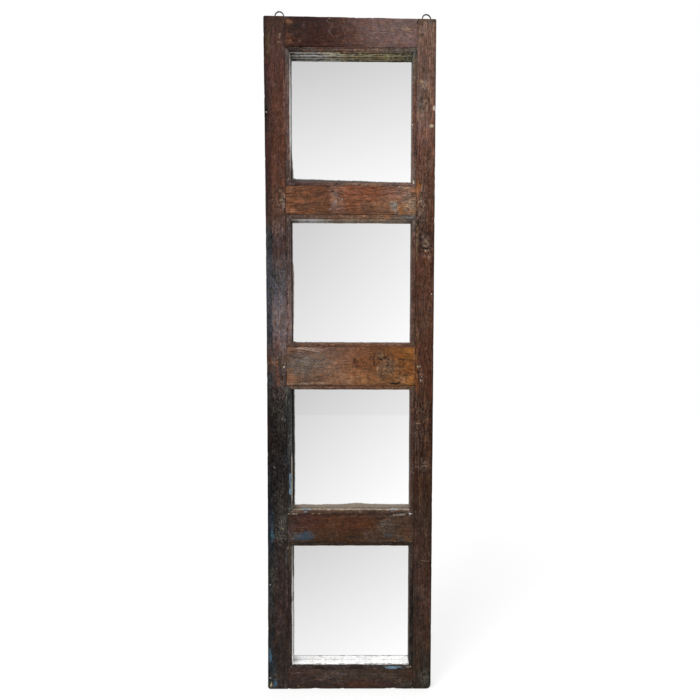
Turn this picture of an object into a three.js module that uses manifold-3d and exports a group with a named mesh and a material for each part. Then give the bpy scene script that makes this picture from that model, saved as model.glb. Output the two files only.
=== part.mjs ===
// A reclaimed door leaf made into a wall mirror. Two full-height stiles and five rails, joined by pegged
// through mortises and tenons, hold four mirror panes behind mitred mouldings.
// Millimetres, +Z up. The front faces -Y, the back lies on y = 0, and the origin is the centre of the
// middle rail's back face.

import * as THREE from 'three';
import { mergeVertices } from 'three/addons/utils/BufferGeometryUtils.js';
import Module from 'manifold-3d';

const wasm = await Module();
wasm.setup();

// Frame members
const frameThickness = 45;
const leftStileWidth = 56;
const rightStileWidth = 50;
const openingWidth = 344;
const topRailHeight = 78;
const upperRailHeight = 75;
const middleRailHeight = 104;
const lowerRailHeight = 78;
const bottomRailHeight = 56;
const firstOpeningHeight = 355;
const secondOpeningHeight = 349;
const thirdOpeningHeight = 351;
const fourthOpeningHeight = 356;

// Wear and trueness of the old leaf
const topEdgeFall = 5;
const leftEdgeHollow = 3.3;
const stileEase = 2;
const railEase = 1.2;
const topCornerRadius = 4;
const chippedCornerLeg = 5;
const roundedCornerRadius = 12.5;

// Mortise and tenon joints
const tenonThickness = 15;
const tenonShoulder = 8;
const topHaunchHeight = 14;
const bottomHaunchHeight = 8;
const haunchLength = 11;
const tenonSetback = 0.5;
const pegDiameter = 8;
const pegTipDiameter = 7;
const pegInset = 13;
const pegSink = 0.4;

// Mouldings round the front of each opening
const mouldingWidth = 11;
const mouldingSetback = 1;
const filletWidth = 2.6;
const quirkDepth = 0.8;
const slopeDepth = 6.5;

// Mirror panes, backing boards and the beads that hold them in from the back
const glassThickness = 4;
const boardThickness = 3;
const paneClearance = 1.5;
const beadWidth = 10;
const beadThickness = 11;
const beadChamfer = 2;
const beadSetback = 0.4;

// Screw eyes in the top ends of the stiles
const eyeWireDiameter = 3.5;
const eyeRingDiameter = 26;
const eyeShankLength = 26;
const eyePointLength = 6;
const leftEyeInset = 38;
const rightEyeInset = 23.5;
const eyeNeckAngle = THREE.MathUtils.degToRad(11);
const eyeEndAngle = THREE.MathUtils.degToRad(12);
const rightEyeTurn = THREE.MathUtils.degToRad(8);

// Clearance between fitted pieces, overrun of the cuts and fineness of the curves
const clearance = 0.3;
const overrun = 5;
const easeSteps = 2;
const curveSteps = 6;
const hollowSteps = 24;
const pegSides = 10;
const holeSides = 20;
const wireSides = 8;
const wireSteps = 76;

// Places that follow from the sizes
const frameWidth = leftStileWidth + openingWidth + rightStileWidth;
const leftOuter = -frameWidth / 2;
const leftInner = leftOuter + leftStileWidth;
const rightInner = leftInner + openingWidth;
const rightOuter = rightInner + rightStileWidth;
const frontY = -frameThickness;
const middleY = frontY / 2;
const belowMiddle = bottomRailHeight + fourthOpeningHeight + lowerRailHeight + thirdOpeningHeight;
const aboveMiddle = topRailHeight + firstOpeningHeight + upperRailHeight + secondOpeningHeight;
const bottomZ = -middleRailHeight / 2 - belowMiddle;
const topZ = middleRailHeight / 2 + aboveMiddle;

// Depth behind the front face at which each layer of the filling lies
const beadFrontDepth = frameThickness - beadSetback - beadThickness;
const boardFrontDepth = beadFrontDepth - clearance - boardThickness;
const glassFrontDepth = boardFrontDepth - clearance - glassThickness;
const mouldingBackDepth = glassFrontDepth - clearance;

// Rails from the bottom up, each with the height of the opening above it
const railRows = [
  { name: 'bottom_rail', height: bottomRailHeight, openingAbove: fourthOpeningHeight },
  { name: 'lower_rail', height: lowerRailHeight, openingAbove: thirdOpeningHeight },
  { name: 'middle_rail', height: middleRailHeight, openingAbove: secondOpeningHeight },
  { name: 'upper_rail', height: upperRailHeight, openingAbove: firstOpeningHeight },
  { name: 'top_rail', height: topRailHeight, openingAbove: 0 },
];

const mirror = new THREE.Group();

// Materials
const woods = {
  leftStile: wood(0x3c2420),
  rightStile: wood(0x4f3026),
  top_rail: wood(0x4a2c26),
  upper_rail: wood(0x6e4028),
  middle_rail: wood(0x7a4e2c),
  lower_rail: wood(0x442c24),
  bottom_rail: wood(0x33241f),
  moulding: wood(0x33302b),
  bead: wood(0x6b543c),
  board: wood(0x7d6a50),
  peg: wood(0x5c4734),
};
const silveredGlass = new THREE.MeshStandardMaterial({ color: 0xe6e7ea, roughness: 0.03, metalness: 1 });
const iron = new THREE.MeshStandardMaterial({ color: 0x4a4642, roughness: 0.55, metalness: 0.9 });

function wood(colour) {
  return new THREE.MeshStandardMaterial({ color: colour, roughness: 0.75, metalness: 0, flatShading: true });
}

// A closed geometry as a solid for cutting and joining
function toSolid(geometry) {
  const bare = geometry.clone();
  bare.deleteAttribute('normal');
  bare.deleteAttribute('uv');
  const welded = mergeVertices(bare);
  const vertProperties = new Float32Array(welded.attributes.position.array);
  const triVerts = new Uint32Array(welded.index.array);
  return new wasm.Manifold(new wasm.Mesh({ numProp: 3, vertProperties, triVerts }));
}

function toGeometry(solid) {
  const { vertProperties, triVerts } = solid.getMesh();
  const geometry = new THREE.BufferGeometry();
  geometry.setAttribute('position', new THREE.BufferAttribute(vertProperties, 3));
  geometry.setIndex(new THREE.BufferAttribute(triVerts, 1));
  geometry.computeVertexNormals();
  return geometry;
}

function addPiece(name, geometry, material) {
  const piece = new THREE.Mesh(geometry, material);
  piece.name = name;
  mirror.add(piece);
  return piece;
}

// Edges of the leaf: the top runs out of square, and the left edge is worn hollow along its length
function topAt(x) {
  return topZ - (topEdgeFall * (x - leftOuter)) / frameWidth;
}

function leftEdgeAt(z) {
  const lowEnd = bottomZ + chippedCornerLeg;
  const highEnd = topZ - topCornerRadius;
  const share = (z - lowEnd) / (highEnd - lowEnd);
  return leftOuter + 4 * leftEdgeHollow * share * (1 - share);
}

// A board from its front outline in x and z, over the frame's thickness, with all its arrises eased
function easedBoard(outline, ease) {
  const board = new THREE.ExtrudeGeometry(outline, {
    depth: frameThickness - 2 * ease,
    curveSegments: curveSteps,
    bevelThickness: ease,
    bevelSize: ease,
    bevelOffset: -ease,
    bevelSegments: easeSteps,
  });
  board.rotateX(Math.PI / 2);
  board.translate(0, -ease, 0);
  return toSolid(board);
}

function leftStileOutline() {
  const outline = new THREE.Shape();
  outline.moveTo(leftOuter + chippedCornerLeg, bottomZ);
  outline.lineTo(leftInner, bottomZ);
  outline.lineTo(leftInner, topAt(leftInner));
  outline.lineTo(leftOuter + topCornerRadius, topAt(leftOuter + topCornerRadius));
  outline.quadraticCurveTo(leftOuter, topZ, leftOuter, topZ - topCornerRadius);
  for (let step = 1; step <= hollowSteps; step += 1) {
    const highEnd = topZ - topCornerRadius;
    const z = highEnd - ((highEnd - bottomZ - chippedCornerLeg) * step) / hollowSteps;
    outline.lineTo(leftEdgeAt(z), z);
  }
  outline.closePath();
  return outline;
}

function rightStileOutline() {
  const topLeft = topAt(rightOuter - topCornerRadius);
  const topRight = topAt(rightOuter);
  const outline = new THREE.Shape();
  outline.moveTo(rightInner, bottomZ);
  outline.lineTo(rightOuter - roundedCornerRadius, bottomZ);
  const centreX = rightOuter - roundedCornerRadius;
  const centreZ = bottomZ + roundedCornerRadius;
  outline.absarc(centreX, centreZ, roundedCornerRadius, -Math.PI / 2, 0, false);
  outline.lineTo(rightOuter, topRight - topCornerRadius);
  outline.quadraticCurveTo(rightOuter, topRight, rightOuter - topCornerRadius, topLeft);
  outline.lineTo(rightInner, topAt(rightInner));
  outline.closePath();
  return outline;
}

function railOutline(rail) {
  const left = leftInner + clearance;
  const right = rightInner - clearance;
  const isTop = rail.name === 'top_rail';
  const outline = new THREE.Shape();
  outline.moveTo(left, rail.bottom);
  outline.lineTo(right, rail.bottom);
  outline.lineTo(right, isTop ? topAt(right) : rail.top);
  outline.lineTo(left, isTop ? topAt(left) : rail.top);
  outline.closePath();
  return outline;
}

// A bar through the whole width of the frame in the middle of its thickness: the two tenons of a rail, or
// with some growth the mortises that take them
function jointBar(leftEnd, rightEnd, low, high, growth) {
  const bar = new THREE.BoxGeometry(
    rightEnd - leftEnd + 2 * growth,
    tenonThickness + 2 * growth,
    high - low + 2 * growth,
  );
  bar.translate((leftEnd + rightEnd) / 2, middleY, (low + high) / 2);
  return toSolid(bar);
}

function tenons(rail, growth, endOverrun) {
  const leftEnd = leftEdgeAt(rail.tenonMiddle) + tenonSetback - endOverrun;
  const rightEnd = rightOuter - tenonSetback + endOverrun;
  const through = jointBar(leftEnd, rightEnd, rail.tenonLow, rail.tenonHigh, growth);
  if (rail.haunchLow === rail.haunchHigh) {
    return through;
  }
  const haunchLeft = leftInner - haunchLength;
  const haunchRight = rightInner + haunchLength;
  return through.add(jointBar(haunchLeft, haunchRight, rail.haunchLow, rail.haunchHigh, growth));
}

// Rails with their places: the tenon stands back from the openings by its shoulder, and at the ends of the
// leaf it is narrowed and carries a haunch that overlaps the tenon's edge
function placeRails() {
  const rails = [];
  let bottom = bottomZ;
  for (const row of railRows) {
    const top = bottom + row.height;
    const rail = { ...row, bottom, top, haunchLow: 0, haunchHigh: 0 };
    rail.tenonLow = bottom + tenonShoulder;
    rail.tenonHigh = top - tenonShoulder;
    if (row.name === 'bottom_rail') {
      rail.haunchLow = rail.tenonLow;
      rail.tenonLow += bottomHaunchHeight;
      rail.haunchHigh = rail.tenonLow + tenonShoulder;
    }
    if (row.name === 'top_rail') {
      rail.haunchHigh = rail.tenonHigh - topEdgeFall;
      rail.tenonHigh -= topHaunchHeight;
      rail.haunchLow = rail.tenonHigh - tenonShoulder;
    }
    rail.tenonMiddle = (rail.tenonLow + rail.tenonHigh) / 2;
    rails.push(rail);
    bottom = top + row.openingAbove;
  }
  return rails;
}

// A round hole or bit of the given diameter along y or z, centred on the point
function roundCutter(diameter, length, axis, centre) {
  const cutter = new THREE.CylinderGeometry(diameter / 2, diameter / 2, length, holeSides);
  if (axis === 'z') {
    cutter.rotateX(Math.PI / 2);
  }
  cutter.translate(centre.x, centre.y, centre.z);
  return toSolid(cutter);
}

function pegPlaces(rails) {
  const places = [];
  for (const rail of rails) {
    const joint = rail.name.replace('_rail', '');
    places.push({ name: `peg_${joint}_left`, x: leftInner - pegInset, z: rail.tenonMiddle });
    places.push({ name: `peg_${joint}_right`, x: rightInner + pegInset, z: rail.tenonMiddle });
  }
  return places;
}

const eyePlaces = [
  { name: 'screw_eye_left', x: leftOuter + leftEyeInset, turn: 0 },
  { name: 'screw_eye_right', x: rightOuter - rightEyeInset, turn: rightEyeTurn },
];

// Stiles and rails: eased boards, with the mortises, peg holes and pilot holes cut
function addFrame(rails, pegs) {
  const pegHoles = pegs.map((peg) => {
    const centre = new THREE.Vector3(peg.x, middleY, peg.z);
    return roundCutter(pegDiameter + 2 * clearance, frameThickness + 2 * overrun, 'y', centre);
  });
  const pilotHoles = eyePlaces.map((eye) => {
    const depth = eyeShankLength + eyePointLength + clearance;
    const centre = new THREE.Vector3(eye.x, middleY, topAt(eye.x) + (overrun - depth) / 2);
    return roundCutter(eyeWireDiameter + 2 * clearance, depth + overrun, 'z', centre);
  });
  const holes = wasm.Manifold.union([...pegHoles, ...pilotHoles]);
  const mortises = wasm.Manifold.union(rails.map((rail) => tenons(rail, clearance, overrun)));

  const leftStile = easedBoard(leftStileOutline(), stileEase).subtract(mortises).subtract(holes);
  const rightStile = easedBoard(rightStileOutline(), stileEase).subtract(mortises).subtract(holes);
  addPiece('left_stile', toGeometry(leftStile), woods.leftStile);
  addPiece('right_stile', toGeometry(rightStile), woods.rightStile);
  for (const rail of rails) {
    const board = easedBoard(railOutline(rail), railEase);
    addPiece(rail.name, toGeometry(board.add(tenons(rail, 0, 0)).subtract(holes)), woods[rail.name]);
  }
}

// A tapered draw peg, driven in from the front and sunk a little below both faces
function addPeg(peg) {
  const length = frameThickness - 2 * pegSink;
  const profile = [
    new THREE.Vector2(0, 0),
    new THREE.Vector2(pegDiameter / 2, 0),
    new THREE.Vector2(pegTipDiameter / 2, length),
    new THREE.Vector2(0, length),
  ];
  const piece = addPiece(peg.name, new THREE.LatheGeometry(profile, pegSides), woods.peg);
  piece.position.set(peg.x, frontY + pegSink, peg.z);
}

// Section of a moulding: x runs from the member into the opening and y from the front face backwards. A
// flat fillet, a quirk and an ovolo lead to the deep plain reveal in front of the glass.
function mouldingSection() {
  const curveTop = mouldingSetback + quirkDepth;
  const section = new THREE.Shape();
  section.moveTo(clearance, mouldingBackDepth);
  section.lineTo(clearance, mouldingSetback);
  section.lineTo(filletWidth, mouldingSetback);
  section.lineTo(filletWidth, curveTop);
  const curveWidth = mouldingWidth - filletWidth;
  section.absellipse(filletWidth, slopeDepth, curveWidth, slopeDepth - curveTop, -Math.PI / 2, 0, false, 0);
  section.lineTo(mouldingWidth, mouldingBackDepth);
  section.closePath();
  return section;
}

// Section of a bead: x runs from the member into the opening and y from the back face forwards
function beadSection() {
  const section = new THREE.Shape();
  section.moveTo(clearance, beadSetback + beadThickness);
  section.lineTo(clearance, beadSetback);
  section.lineTo(beadWidth - beadChamfer, beadSetback);
  section.lineTo(beadWidth, beadSetback + beadChamfer);
  section.lineTo(beadWidth, beadSetback + beadThickness);
  section.closePath();
  return section;
}

// A strip of the section, mitred at both ends so that the inner edge is the shorter
function mitredStrip(section, length) {
  const strip = new THREE.ExtrudeGeometry(section, {
    depth: length,
    curveSegments: curveSteps,
    bevelEnabled: false,
  });
  const mitreGap = clearance / Math.SQRT2;
  const position = strip.attributes.position;
  for (let i = 0; i < position.count; i += 1) {
    const inset = position.getX(i) + mitreGap;
    const along = position.getZ(i);
    position.setZ(i, along > 0 ? along - inset : along + inset);
  }
  strip.computeVertexNormals();
  return strip;
}

const inwardBySide = {
  left: new THREE.Vector3(1, 0, 0),
  right: new THREE.Vector3(-1, 0, 0),
  top: new THREE.Vector3(0, 0, -1),
  bottom: new THREE.Vector3(0, 0, 1),
};

// Four mitred strips round an opening, laid from the given face in the given direction of depth
function addStrips(kind, opening, section, faceY, depthDirection, material) {
  for (const [side, inward] of Object.entries(inwardBySide)) {
    const along = new THREE.Vector3().crossVectors(inward, depthDirection);
    const length = along.x === 0 ? opening.top - opening.bottom : openingWidth;
    const strip = addPiece(`${kind}_${opening.number}_${side}`, mitredStrip(section, length), material);
    strip.quaternion.setFromRotationMatrix(new THREE.Matrix4().makeBasis(inward, depthDirection, along));
    strip.position.set(
      inward.x + along.x > 0 ? leftInner : rightInner,
      faceY,
      inward.z + along.z > 0 ? opening.bottom : opening.top,
    );
  }
}

// A flat sheet that fills the opening behind the mouldings
function addSheet(name, opening, frontDepth, thickness, material) {
  const width = openingWidth - 2 * paneClearance;
  const height = opening.top - opening.bottom - 2 * paneClearance;
  const sheet = addPiece(name, new THREE.BoxGeometry(width, thickness, height), material);
  const centreY = frontY + frontDepth + thickness / 2;
  sheet.position.set((leftInner + rightInner) / 2, centreY, (opening.bottom + opening.top) / 2);
}

function addFilling(opening) {
  const backwards = new THREE.Vector3(0, 1, 0);
  const forwards = new THREE.Vector3(0, -1, 0);
  addStrips('moulding', opening, mouldingSection(), frontY, backwards, woods.moulding);
  addSheet(`mirror_${opening.number}`, opening, glassFrontDepth, glassThickness, silveredGlass);
  addSheet(`backing_${opening.number}`, opening, boardFrontDepth, boardThickness, woods.board);
  addStrips('bead', opening, beadSection(), 0, forwards, woods.bead);
}

// Centre line of a screw eye, from the foot of its shank up into the ring, with z = 0 at the wood. The
// neck is an arc that leaves the shank upright and meets the ring tangentially at the neck angle.
class EyeLine extends THREE.Curve {
  constructor() {
    super();
    this.ringRadius = (eyeRingDiameter - eyeWireDiameter) / 2;
    this.neckRadius = (this.ringRadius * Math.sin(eyeNeckAngle)) / (1 - Math.sin(eyeNeckAngle));
    this.ringHeight = (this.ringRadius + this.neckRadius) * Math.cos(eyeNeckAngle);
    this.neckTurn = Math.PI / 2 - eyeNeckAngle;
    this.ringTurn = 2 * Math.PI - eyeNeckAngle - eyeEndAngle;
    this.neckLength = this.neckRadius * this.neckTurn;
    this.ringLength = this.ringRadius * this.ringTurn;
  }

  getPoint(share, target = new THREE.Vector3()) {
    const walked = share * (eyeShankLength + this.neckLength + this.ringLength);
    if (walked < eyeShankLength) {
      return target.set(0, 0, walked - eyeShankLength);
    }
    if (walked < eyeShankLength + this.neckLength) {
      const turn = (walked - eyeShankLength) / this.neckRadius;
      return target.set(this.neckRadius * (1 - Math.cos(turn)), 0, this.neckRadius * Math.sin(turn));
    }
    const turn = (walked - eyeShankLength - this.neckLength) / this.ringRadius + eyeNeckAngle;
    return target.set(
      this.ringRadius * Math.sin(turn),
      0,
      this.ringHeight - this.ringRadius * Math.cos(turn),
    );
  }
}

// A screw eye bent from one wire, with a gimlet point on its shank
function addScrewEye(eye) {
  const wireRadius = eyeWireDiameter / 2;
  const section = new THREE.Shape();
  for (let side = 0; side < wireSides; side += 1) {
    const angle = (2 * Math.PI * side) / wireSides;
    const place = [wireRadius * Math.cos(angle), wireRadius * Math.sin(angle)];
    if (side === 0) {
      section.moveTo(...place);
    } else {
      section.lineTo(...place);
    }
  }
  section.closePath();
  const wire = new THREE.ExtrudeGeometry(section, { steps: wireSteps, extrudePath: new EyeLine() });
  const point = new THREE.CylinderGeometry(wireRadius, 0, eyePointLength, wireSides);
  point.rotateX(Math.PI / 2);
  point.translate(0, 0, -eyeShankLength - eyePointLength / 2);
  const piece = addPiece(eye.name, toGeometry(toSolid(wire).add(toSolid(point))), iron);
  piece.rotation.z = eye.turn;
  piece.position.set(eye.x, middleY, topAt(eye.x));
}

const rails = placeRails();
const pegs = pegPlaces(rails);
addFrame(rails, pegs);
pegs.forEach(addPeg);
rails
  .filter((rail) => rail.openingAbove > 0)
  .forEach((rail, index, below) => {
    const number = below.length - index;
    addFilling({ number, bottom: rail.top, top: rail.top + rail.openingAbove });
  });
eyePlaces.forEach(addScrewEye);

export default mirror;
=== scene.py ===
"""A reclaimed door leaf made into a wall mirror: worn hardwood members, painted mouldings and mirror panes.

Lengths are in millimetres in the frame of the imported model, and become metres when a mesh is made.
"""

import math

import bpy
import numpy as np
from mathutils import Matrix, Vector


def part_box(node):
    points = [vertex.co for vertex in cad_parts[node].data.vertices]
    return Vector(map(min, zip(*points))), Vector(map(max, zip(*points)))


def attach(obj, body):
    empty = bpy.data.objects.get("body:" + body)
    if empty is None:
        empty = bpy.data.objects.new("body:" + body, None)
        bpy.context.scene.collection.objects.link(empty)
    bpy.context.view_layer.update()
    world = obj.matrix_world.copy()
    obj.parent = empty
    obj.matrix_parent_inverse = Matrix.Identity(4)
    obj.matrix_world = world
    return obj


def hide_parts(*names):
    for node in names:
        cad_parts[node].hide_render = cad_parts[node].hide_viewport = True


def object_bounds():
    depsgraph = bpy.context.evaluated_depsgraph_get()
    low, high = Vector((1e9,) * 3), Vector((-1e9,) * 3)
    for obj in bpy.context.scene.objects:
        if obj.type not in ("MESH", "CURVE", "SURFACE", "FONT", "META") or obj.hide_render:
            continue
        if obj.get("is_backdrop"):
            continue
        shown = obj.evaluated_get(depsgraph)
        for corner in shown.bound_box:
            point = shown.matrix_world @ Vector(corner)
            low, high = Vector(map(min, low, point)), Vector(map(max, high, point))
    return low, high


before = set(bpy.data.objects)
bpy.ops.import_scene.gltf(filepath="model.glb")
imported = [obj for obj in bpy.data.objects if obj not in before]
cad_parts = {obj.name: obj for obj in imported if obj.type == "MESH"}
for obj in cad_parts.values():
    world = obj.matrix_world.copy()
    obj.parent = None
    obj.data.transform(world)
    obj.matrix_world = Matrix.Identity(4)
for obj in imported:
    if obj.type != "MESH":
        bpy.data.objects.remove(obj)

cad_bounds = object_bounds()

MM = 0.001
BODY = "root"

# Wear and trueness of the leaf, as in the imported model
TOP_FALL = 5
EDGE_HOLLOW = 3.3
TOP_CORNER = 4
CHIPPED_CORNER = 5
ROUNDED_CORNER = 12.5
END_ROUNDING = 1.2
SHOULDER_ROUNDING = 0.4
LEAST_ARRIS = 0.9
MOST_ARRIS = 2.8
SEAM_ARRIS = 0.45

# Unevenness of the boards' faces: size across and along the grain and depth, then the same for broad hollows
RIPPLE_WIDTH = 9
RIPPLE_LENGTH = 75
RIPPLE_DEPTH = 0.12
HOLLOW_SIZE = 160
HOLLOW_DEPTH = 0.07

# Scattered knocks: shares that lie in front and that chip an arris, half sizes, stretch along, and depths
FRONT_SHARE = 0.7
CHIP_SHARE = 0.45
KNOCK_SIZES = (2.2, 5)
KNOCK_STRETCH = (1.2, 3.2)
KNOCK_DEPTHS = (0.2, 0.7)
CHIP_DEPTHS = (0.4, 1.5)

# Unevenness of the strips: its size along and across, its depth, and how far a corner's wear reaches
STRIP_RIPPLE = (30, 6, 1)
STRIP_RIPPLE_DEPTH = 0.16
CORNER_REACH = 2.2

# Joints
TENON_THICKNESS = 15
TENON_SHOULDER = 8
TOP_HAUNCH = 14
BOTTOM_HAUNCH = 8
HAUNCH_LENGTH = 11
CLEARANCE = 0.3
OVERRUN = 5
PEG_DIAMETER = 8
PEG_TAPER = 0.5
EYE_WIRE = 3.5
EYE_RING = 26
EYE_SHANK = 26
EYE_POINT = 6
EYE_NECK = math.radians(11)
EYE_END = math.radians(12)
EYE_TURN = {"left": 0, "right": math.radians(8)}
THREAD_PITCH = 2.2
THREAD_TOP = 19

# Mouldings and beads
FILLET_WIDTH = 2.6
QUIRK_DEPTH = 0.8
SLOPE_DEPTH = 5.5
SLOPE_STEPS = 9
BEAD_CHAMFER = 2

# Fineness of the meshes
STATION_STEP = 2.0
FRONT_STEP = 1.6
SIDE_STEP = 3.2
BACK_STEP = 4.0
STRIP_STEP = 2.0
ARC_STEPS = 5
CAP_SHARES = (0.94, 0.82, 0.66, 0.5, 0.34, 0.16)
END_STATIONS = np.array([0, 0.25, 0.7, 1.4, 2.4, 3.8, 5.6, 7.8, 10.2, 12.5])
END_ZONE = 15
ROD_SIDES = 24
PEG_SIDES = 20
WIRE_SIDES = 18
BRAD_SIDES = 12

RAILS = ("top_rail", "upper_rail", "middle_rail", "lower_rail", "bottom_rail")
OPENINGS = (1, 2, 3, 4)
UPRIGHT_SIDES = ("left", "right")
SIDES = (*UPRIGHT_SIDES, "top", "bottom")

# Where the random draws of each kind of piece start
SEEDS = {"moulding": 200, "bead": 300, "mirror": 400, "backing": 410, "peg": 500, "peg_dome": 520,
         "eye": 600, "moulding_nails": 700, "bead_nails": 800, "board_paint": 1000, "moulding_paint": 3000,
         "bead_paint": 5000, "backing_paint": 5100, "peg_paint": 5200}


def node_box(node):
    low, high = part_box(node)
    return np.array(low) / MM, np.array(high) / MM


leaf_left, front_y, leaf_bottom = node_box("left_stile")[0]
left_inner, leaf_top = node_box("left_stile")[1][[0, 2]]
right_inner, leaf_right = (corner[0] for corner in node_box("right_stile"))
leaf_top += TOP_FALL * TOP_CORNER / (leaf_right - leaf_left)


def top_at(x):
    return leaf_top - TOP_FALL * (x - leaf_left) / (leaf_right - leaf_left)


def left_edge_at(z):
    low = leaf_bottom + CHIPPED_CORNER
    high = leaf_top - TOP_CORNER
    share = np.clip((z - low) / (high - low), 0, 1)
    return leaf_left + 4 * EDGE_HOLLOW * share * (1 - share)


# Smooth noise. The origin keeps every cell number positive.

NOISE_ORIGIN = 10000


def lattice(cell, seed):
    """A fixed random number from -1 to 1 for each whole-numbered cell"""
    cell = cell.astype(np.uint32)
    mixed = cell[:, 0] * np.uint32(374761393) + cell[:, 1] * np.uint32(668265263)
    mixed = mixed + cell[:, 2] * np.uint32(2246822519) + np.uint32(seed * 3266489917 % 2**32)
    mixed = (mixed ^ (mixed >> np.uint32(15))) * np.uint32(2654435761)
    mixed = (mixed ^ (mixed >> np.uint32(13))) * np.uint32(1274126177)
    return ((mixed >> np.uint32(8)) & np.uint32(0xFFFF)) / 32767.5 - 1


def noise(points, size, seed):
    """Smooth noise from -1 to 1 whose features have the given size"""
    scaled = points / np.asarray(size, float) + NOISE_ORIGIN
    cell = np.floor(scaled)
    part = scaled - cell
    part = part * part * (3 - 2 * part)
    total = np.zeros(len(points))
    for corner in np.ndindex(2, 2, 2):
        weight = np.prod(np.where(corner, part, 1 - part), axis=1)
        total += weight * lattice(cell + corner, seed)
    return total


def fractal(points, size, seed, octaves=3):
    size = np.asarray(size, float)
    return sum(noise(points, size / 2**k, seed + 17 * k) / 2**k for k in range(octaves)) / 1.5


def line_noise(along, size, seed):
    """Noise of four octaves that changes along one direction only"""
    nothing = np.zeros(len(along))
    return fractal(np.stack([along, nothing, nothing], axis=-1), (size, 1, 1), seed, 4)


def smooth(value, low, high):
    share = np.clip((value - low) / (high - low), 0, 1)
    return share * share * (3 - 2 * share)


def bell(value, width):
    return np.exp(-(value / width) ** 2)


# Colours are written as they show on screen, from 0 to 255

def linear(colour):
    share = np.asarray(colour, float) / 255
    return np.where(share <= 0.04045, share / 12.92, ((share + 0.055) / 1.055) ** 2.4)


# Meshes

def signed_volume(vertices, quads):
    first, second, third, fourth = (vertices[quads[:, k]] for k in range(4))
    volume = np.einsum("ij,ij->i", first, np.cross(second, third))
    return float((volume + np.einsum("ij,ij->i", first, np.cross(third, fourth))).sum())


def with_caps(rings):
    """Adds rings that shrink to the middle of both ends"""
    first, last = rings[0], rings[-1]
    opening = [first.mean(0) + (first - first.mean(0)) * share for share in reversed(CAP_SHARES)]
    closing = [last.mean(0) + (last - last.mean(0)) * share for share in CAP_SHARES]
    return np.concatenate([opening, rings, closing])


def loft(rings):
    """Vertices and faces of a closed body through a row of closed rings. Each end closes in a fan."""
    stations, count, _ = rings.shape
    index = np.arange(stations * count).reshape(stations, count)
    onward = np.roll(index, -1, axis=1)
    quads = np.stack([index[:-1], onward[:-1], onward[1:], index[1:]], axis=-1).reshape(-1, 4)
    vertices = np.concatenate([rings.reshape(-1, 3), rings[0].mean(0)[None], rings[-1].mean(0)[None]])
    start, end = stations * count, stations * count + 1
    fans = [(onward[0, k], index[0, k], start) for k in range(count)]
    fans += [(index[-1, k], onward[-1, k], end) for k in range(count)]
    if signed_volume(vertices, quads) < 0:
        quads = quads[:, ::-1]
        fans = [fan[::-1] for fan in fans]
    return vertices, [tuple(q) for q in quads.tolist()] + [tuple(int(v) for v in f) for f in fans]


# Edges at least this sharp, in degrees, stay sharp in the shading of each kind of piece
SHARP_ANGLES = {"board": 35, "strip": 32, "sheet": 12, "peg": 30, "eye": 40, "nail": 35, "floor": 35}


def new_piece(name, vertices, faces, kind):
    mesh = bpy.data.meshes.new(name)
    mesh.from_pydata((np.asarray(vertices) * MM).tolist(), [], faces)
    mesh.update()
    piece = bpy.data.objects.new(name, mesh)
    bpy.context.scene.collection.objects.link(piece)
    shade(piece, kind)
    return piece


def shade(piece, kind):
    piece.data.polygons.foreach_set("use_smooth", [True] * len(piece.data.polygons))
    piece.data.set_sharp_from_angle(angle=math.radians(SHARP_ANGLES[kind]))


def points_of(piece):
    flat = np.empty(len(piece.data.vertices) * 3)
    piece.data.vertices.foreach_get("co", flat)
    return flat.reshape(-1, 3) / MM


def carve(piece, cutter, operation="DIFFERENCE"):
    """Cuts the cutter from the piece, or joins it on, and removes it"""
    modifier = piece.modifiers.new("carve", "BOOLEAN")
    modifier.operation = operation
    modifier.solver = "MANIFOLD"
    modifier.object = cutter
    graph = bpy.context.evaluated_depsgraph_get()
    carved = bpy.data.meshes.new_from_object(piece.evaluated_get(graph))
    piece.modifiers.clear()
    piece.data = carved
    bpy.data.objects.remove(cutter)


def bodies_joined(name, bodies, kind="board"):
    """One object from several separate closed bodies, each given by its vertices and faces"""
    vertices, faces, offset = [], [], 0
    for body_vertices, body_faces in bodies:
        vertices.append(np.asarray(body_vertices, float))
        faces += [tuple(v + offset for v in face) for face in body_faces]
        offset += len(body_vertices)
    return new_piece(name, np.concatenate(vertices), faces, kind)


def box_body(low, high):
    corners = [(x, y, z) for z in (low[2], high[2]) for y in (low[1], high[1]) for x in (low[0], high[0])]
    faces = [(0, 2, 3, 1), (4, 5, 7, 6), (0, 1, 5, 4), (1, 3, 7, 5), (3, 2, 6, 7), (2, 0, 4, 6)]
    return np.array(corners, float), faces


def rod_body(start, end, radius):
    """A cylinder along the axis in which its ends differ"""
    start, end = np.asarray(start, float), np.asarray(end, float)
    axis = int(np.argmax(np.abs(end - start)))
    across = [k for k in range(3) if k != axis]
    rings = np.zeros((2, ROD_SIDES, 3))
    for station, centre in enumerate((start, end)):
        for side in range(ROD_SIDES):
            angle = 2 * math.pi * side / ROD_SIDES
            rings[station, side] = centre
            rings[station, side, across[0]] += radius * math.cos(angle)
            rings[station, side, across[1]] += radius * math.sin(angle)
    return loft(rings)


# Boards of the frame

def end_inset(gap, radius):
    """How far a rounded end has drawn in, at a gap from the end"""
    inside = np.clip(radius - gap, 0, radius)
    return radius - np.sqrt(radius**2 - inside**2)


def stations_along(start, end, step):
    middle = np.linspace(start + END_ZONE, end - END_ZONE, max(2, int((end - start - 2 * END_ZONE) / step)))
    return np.concatenate([start + END_STATIONS, middle, (end - END_STATIONS)[::-1]])


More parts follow.
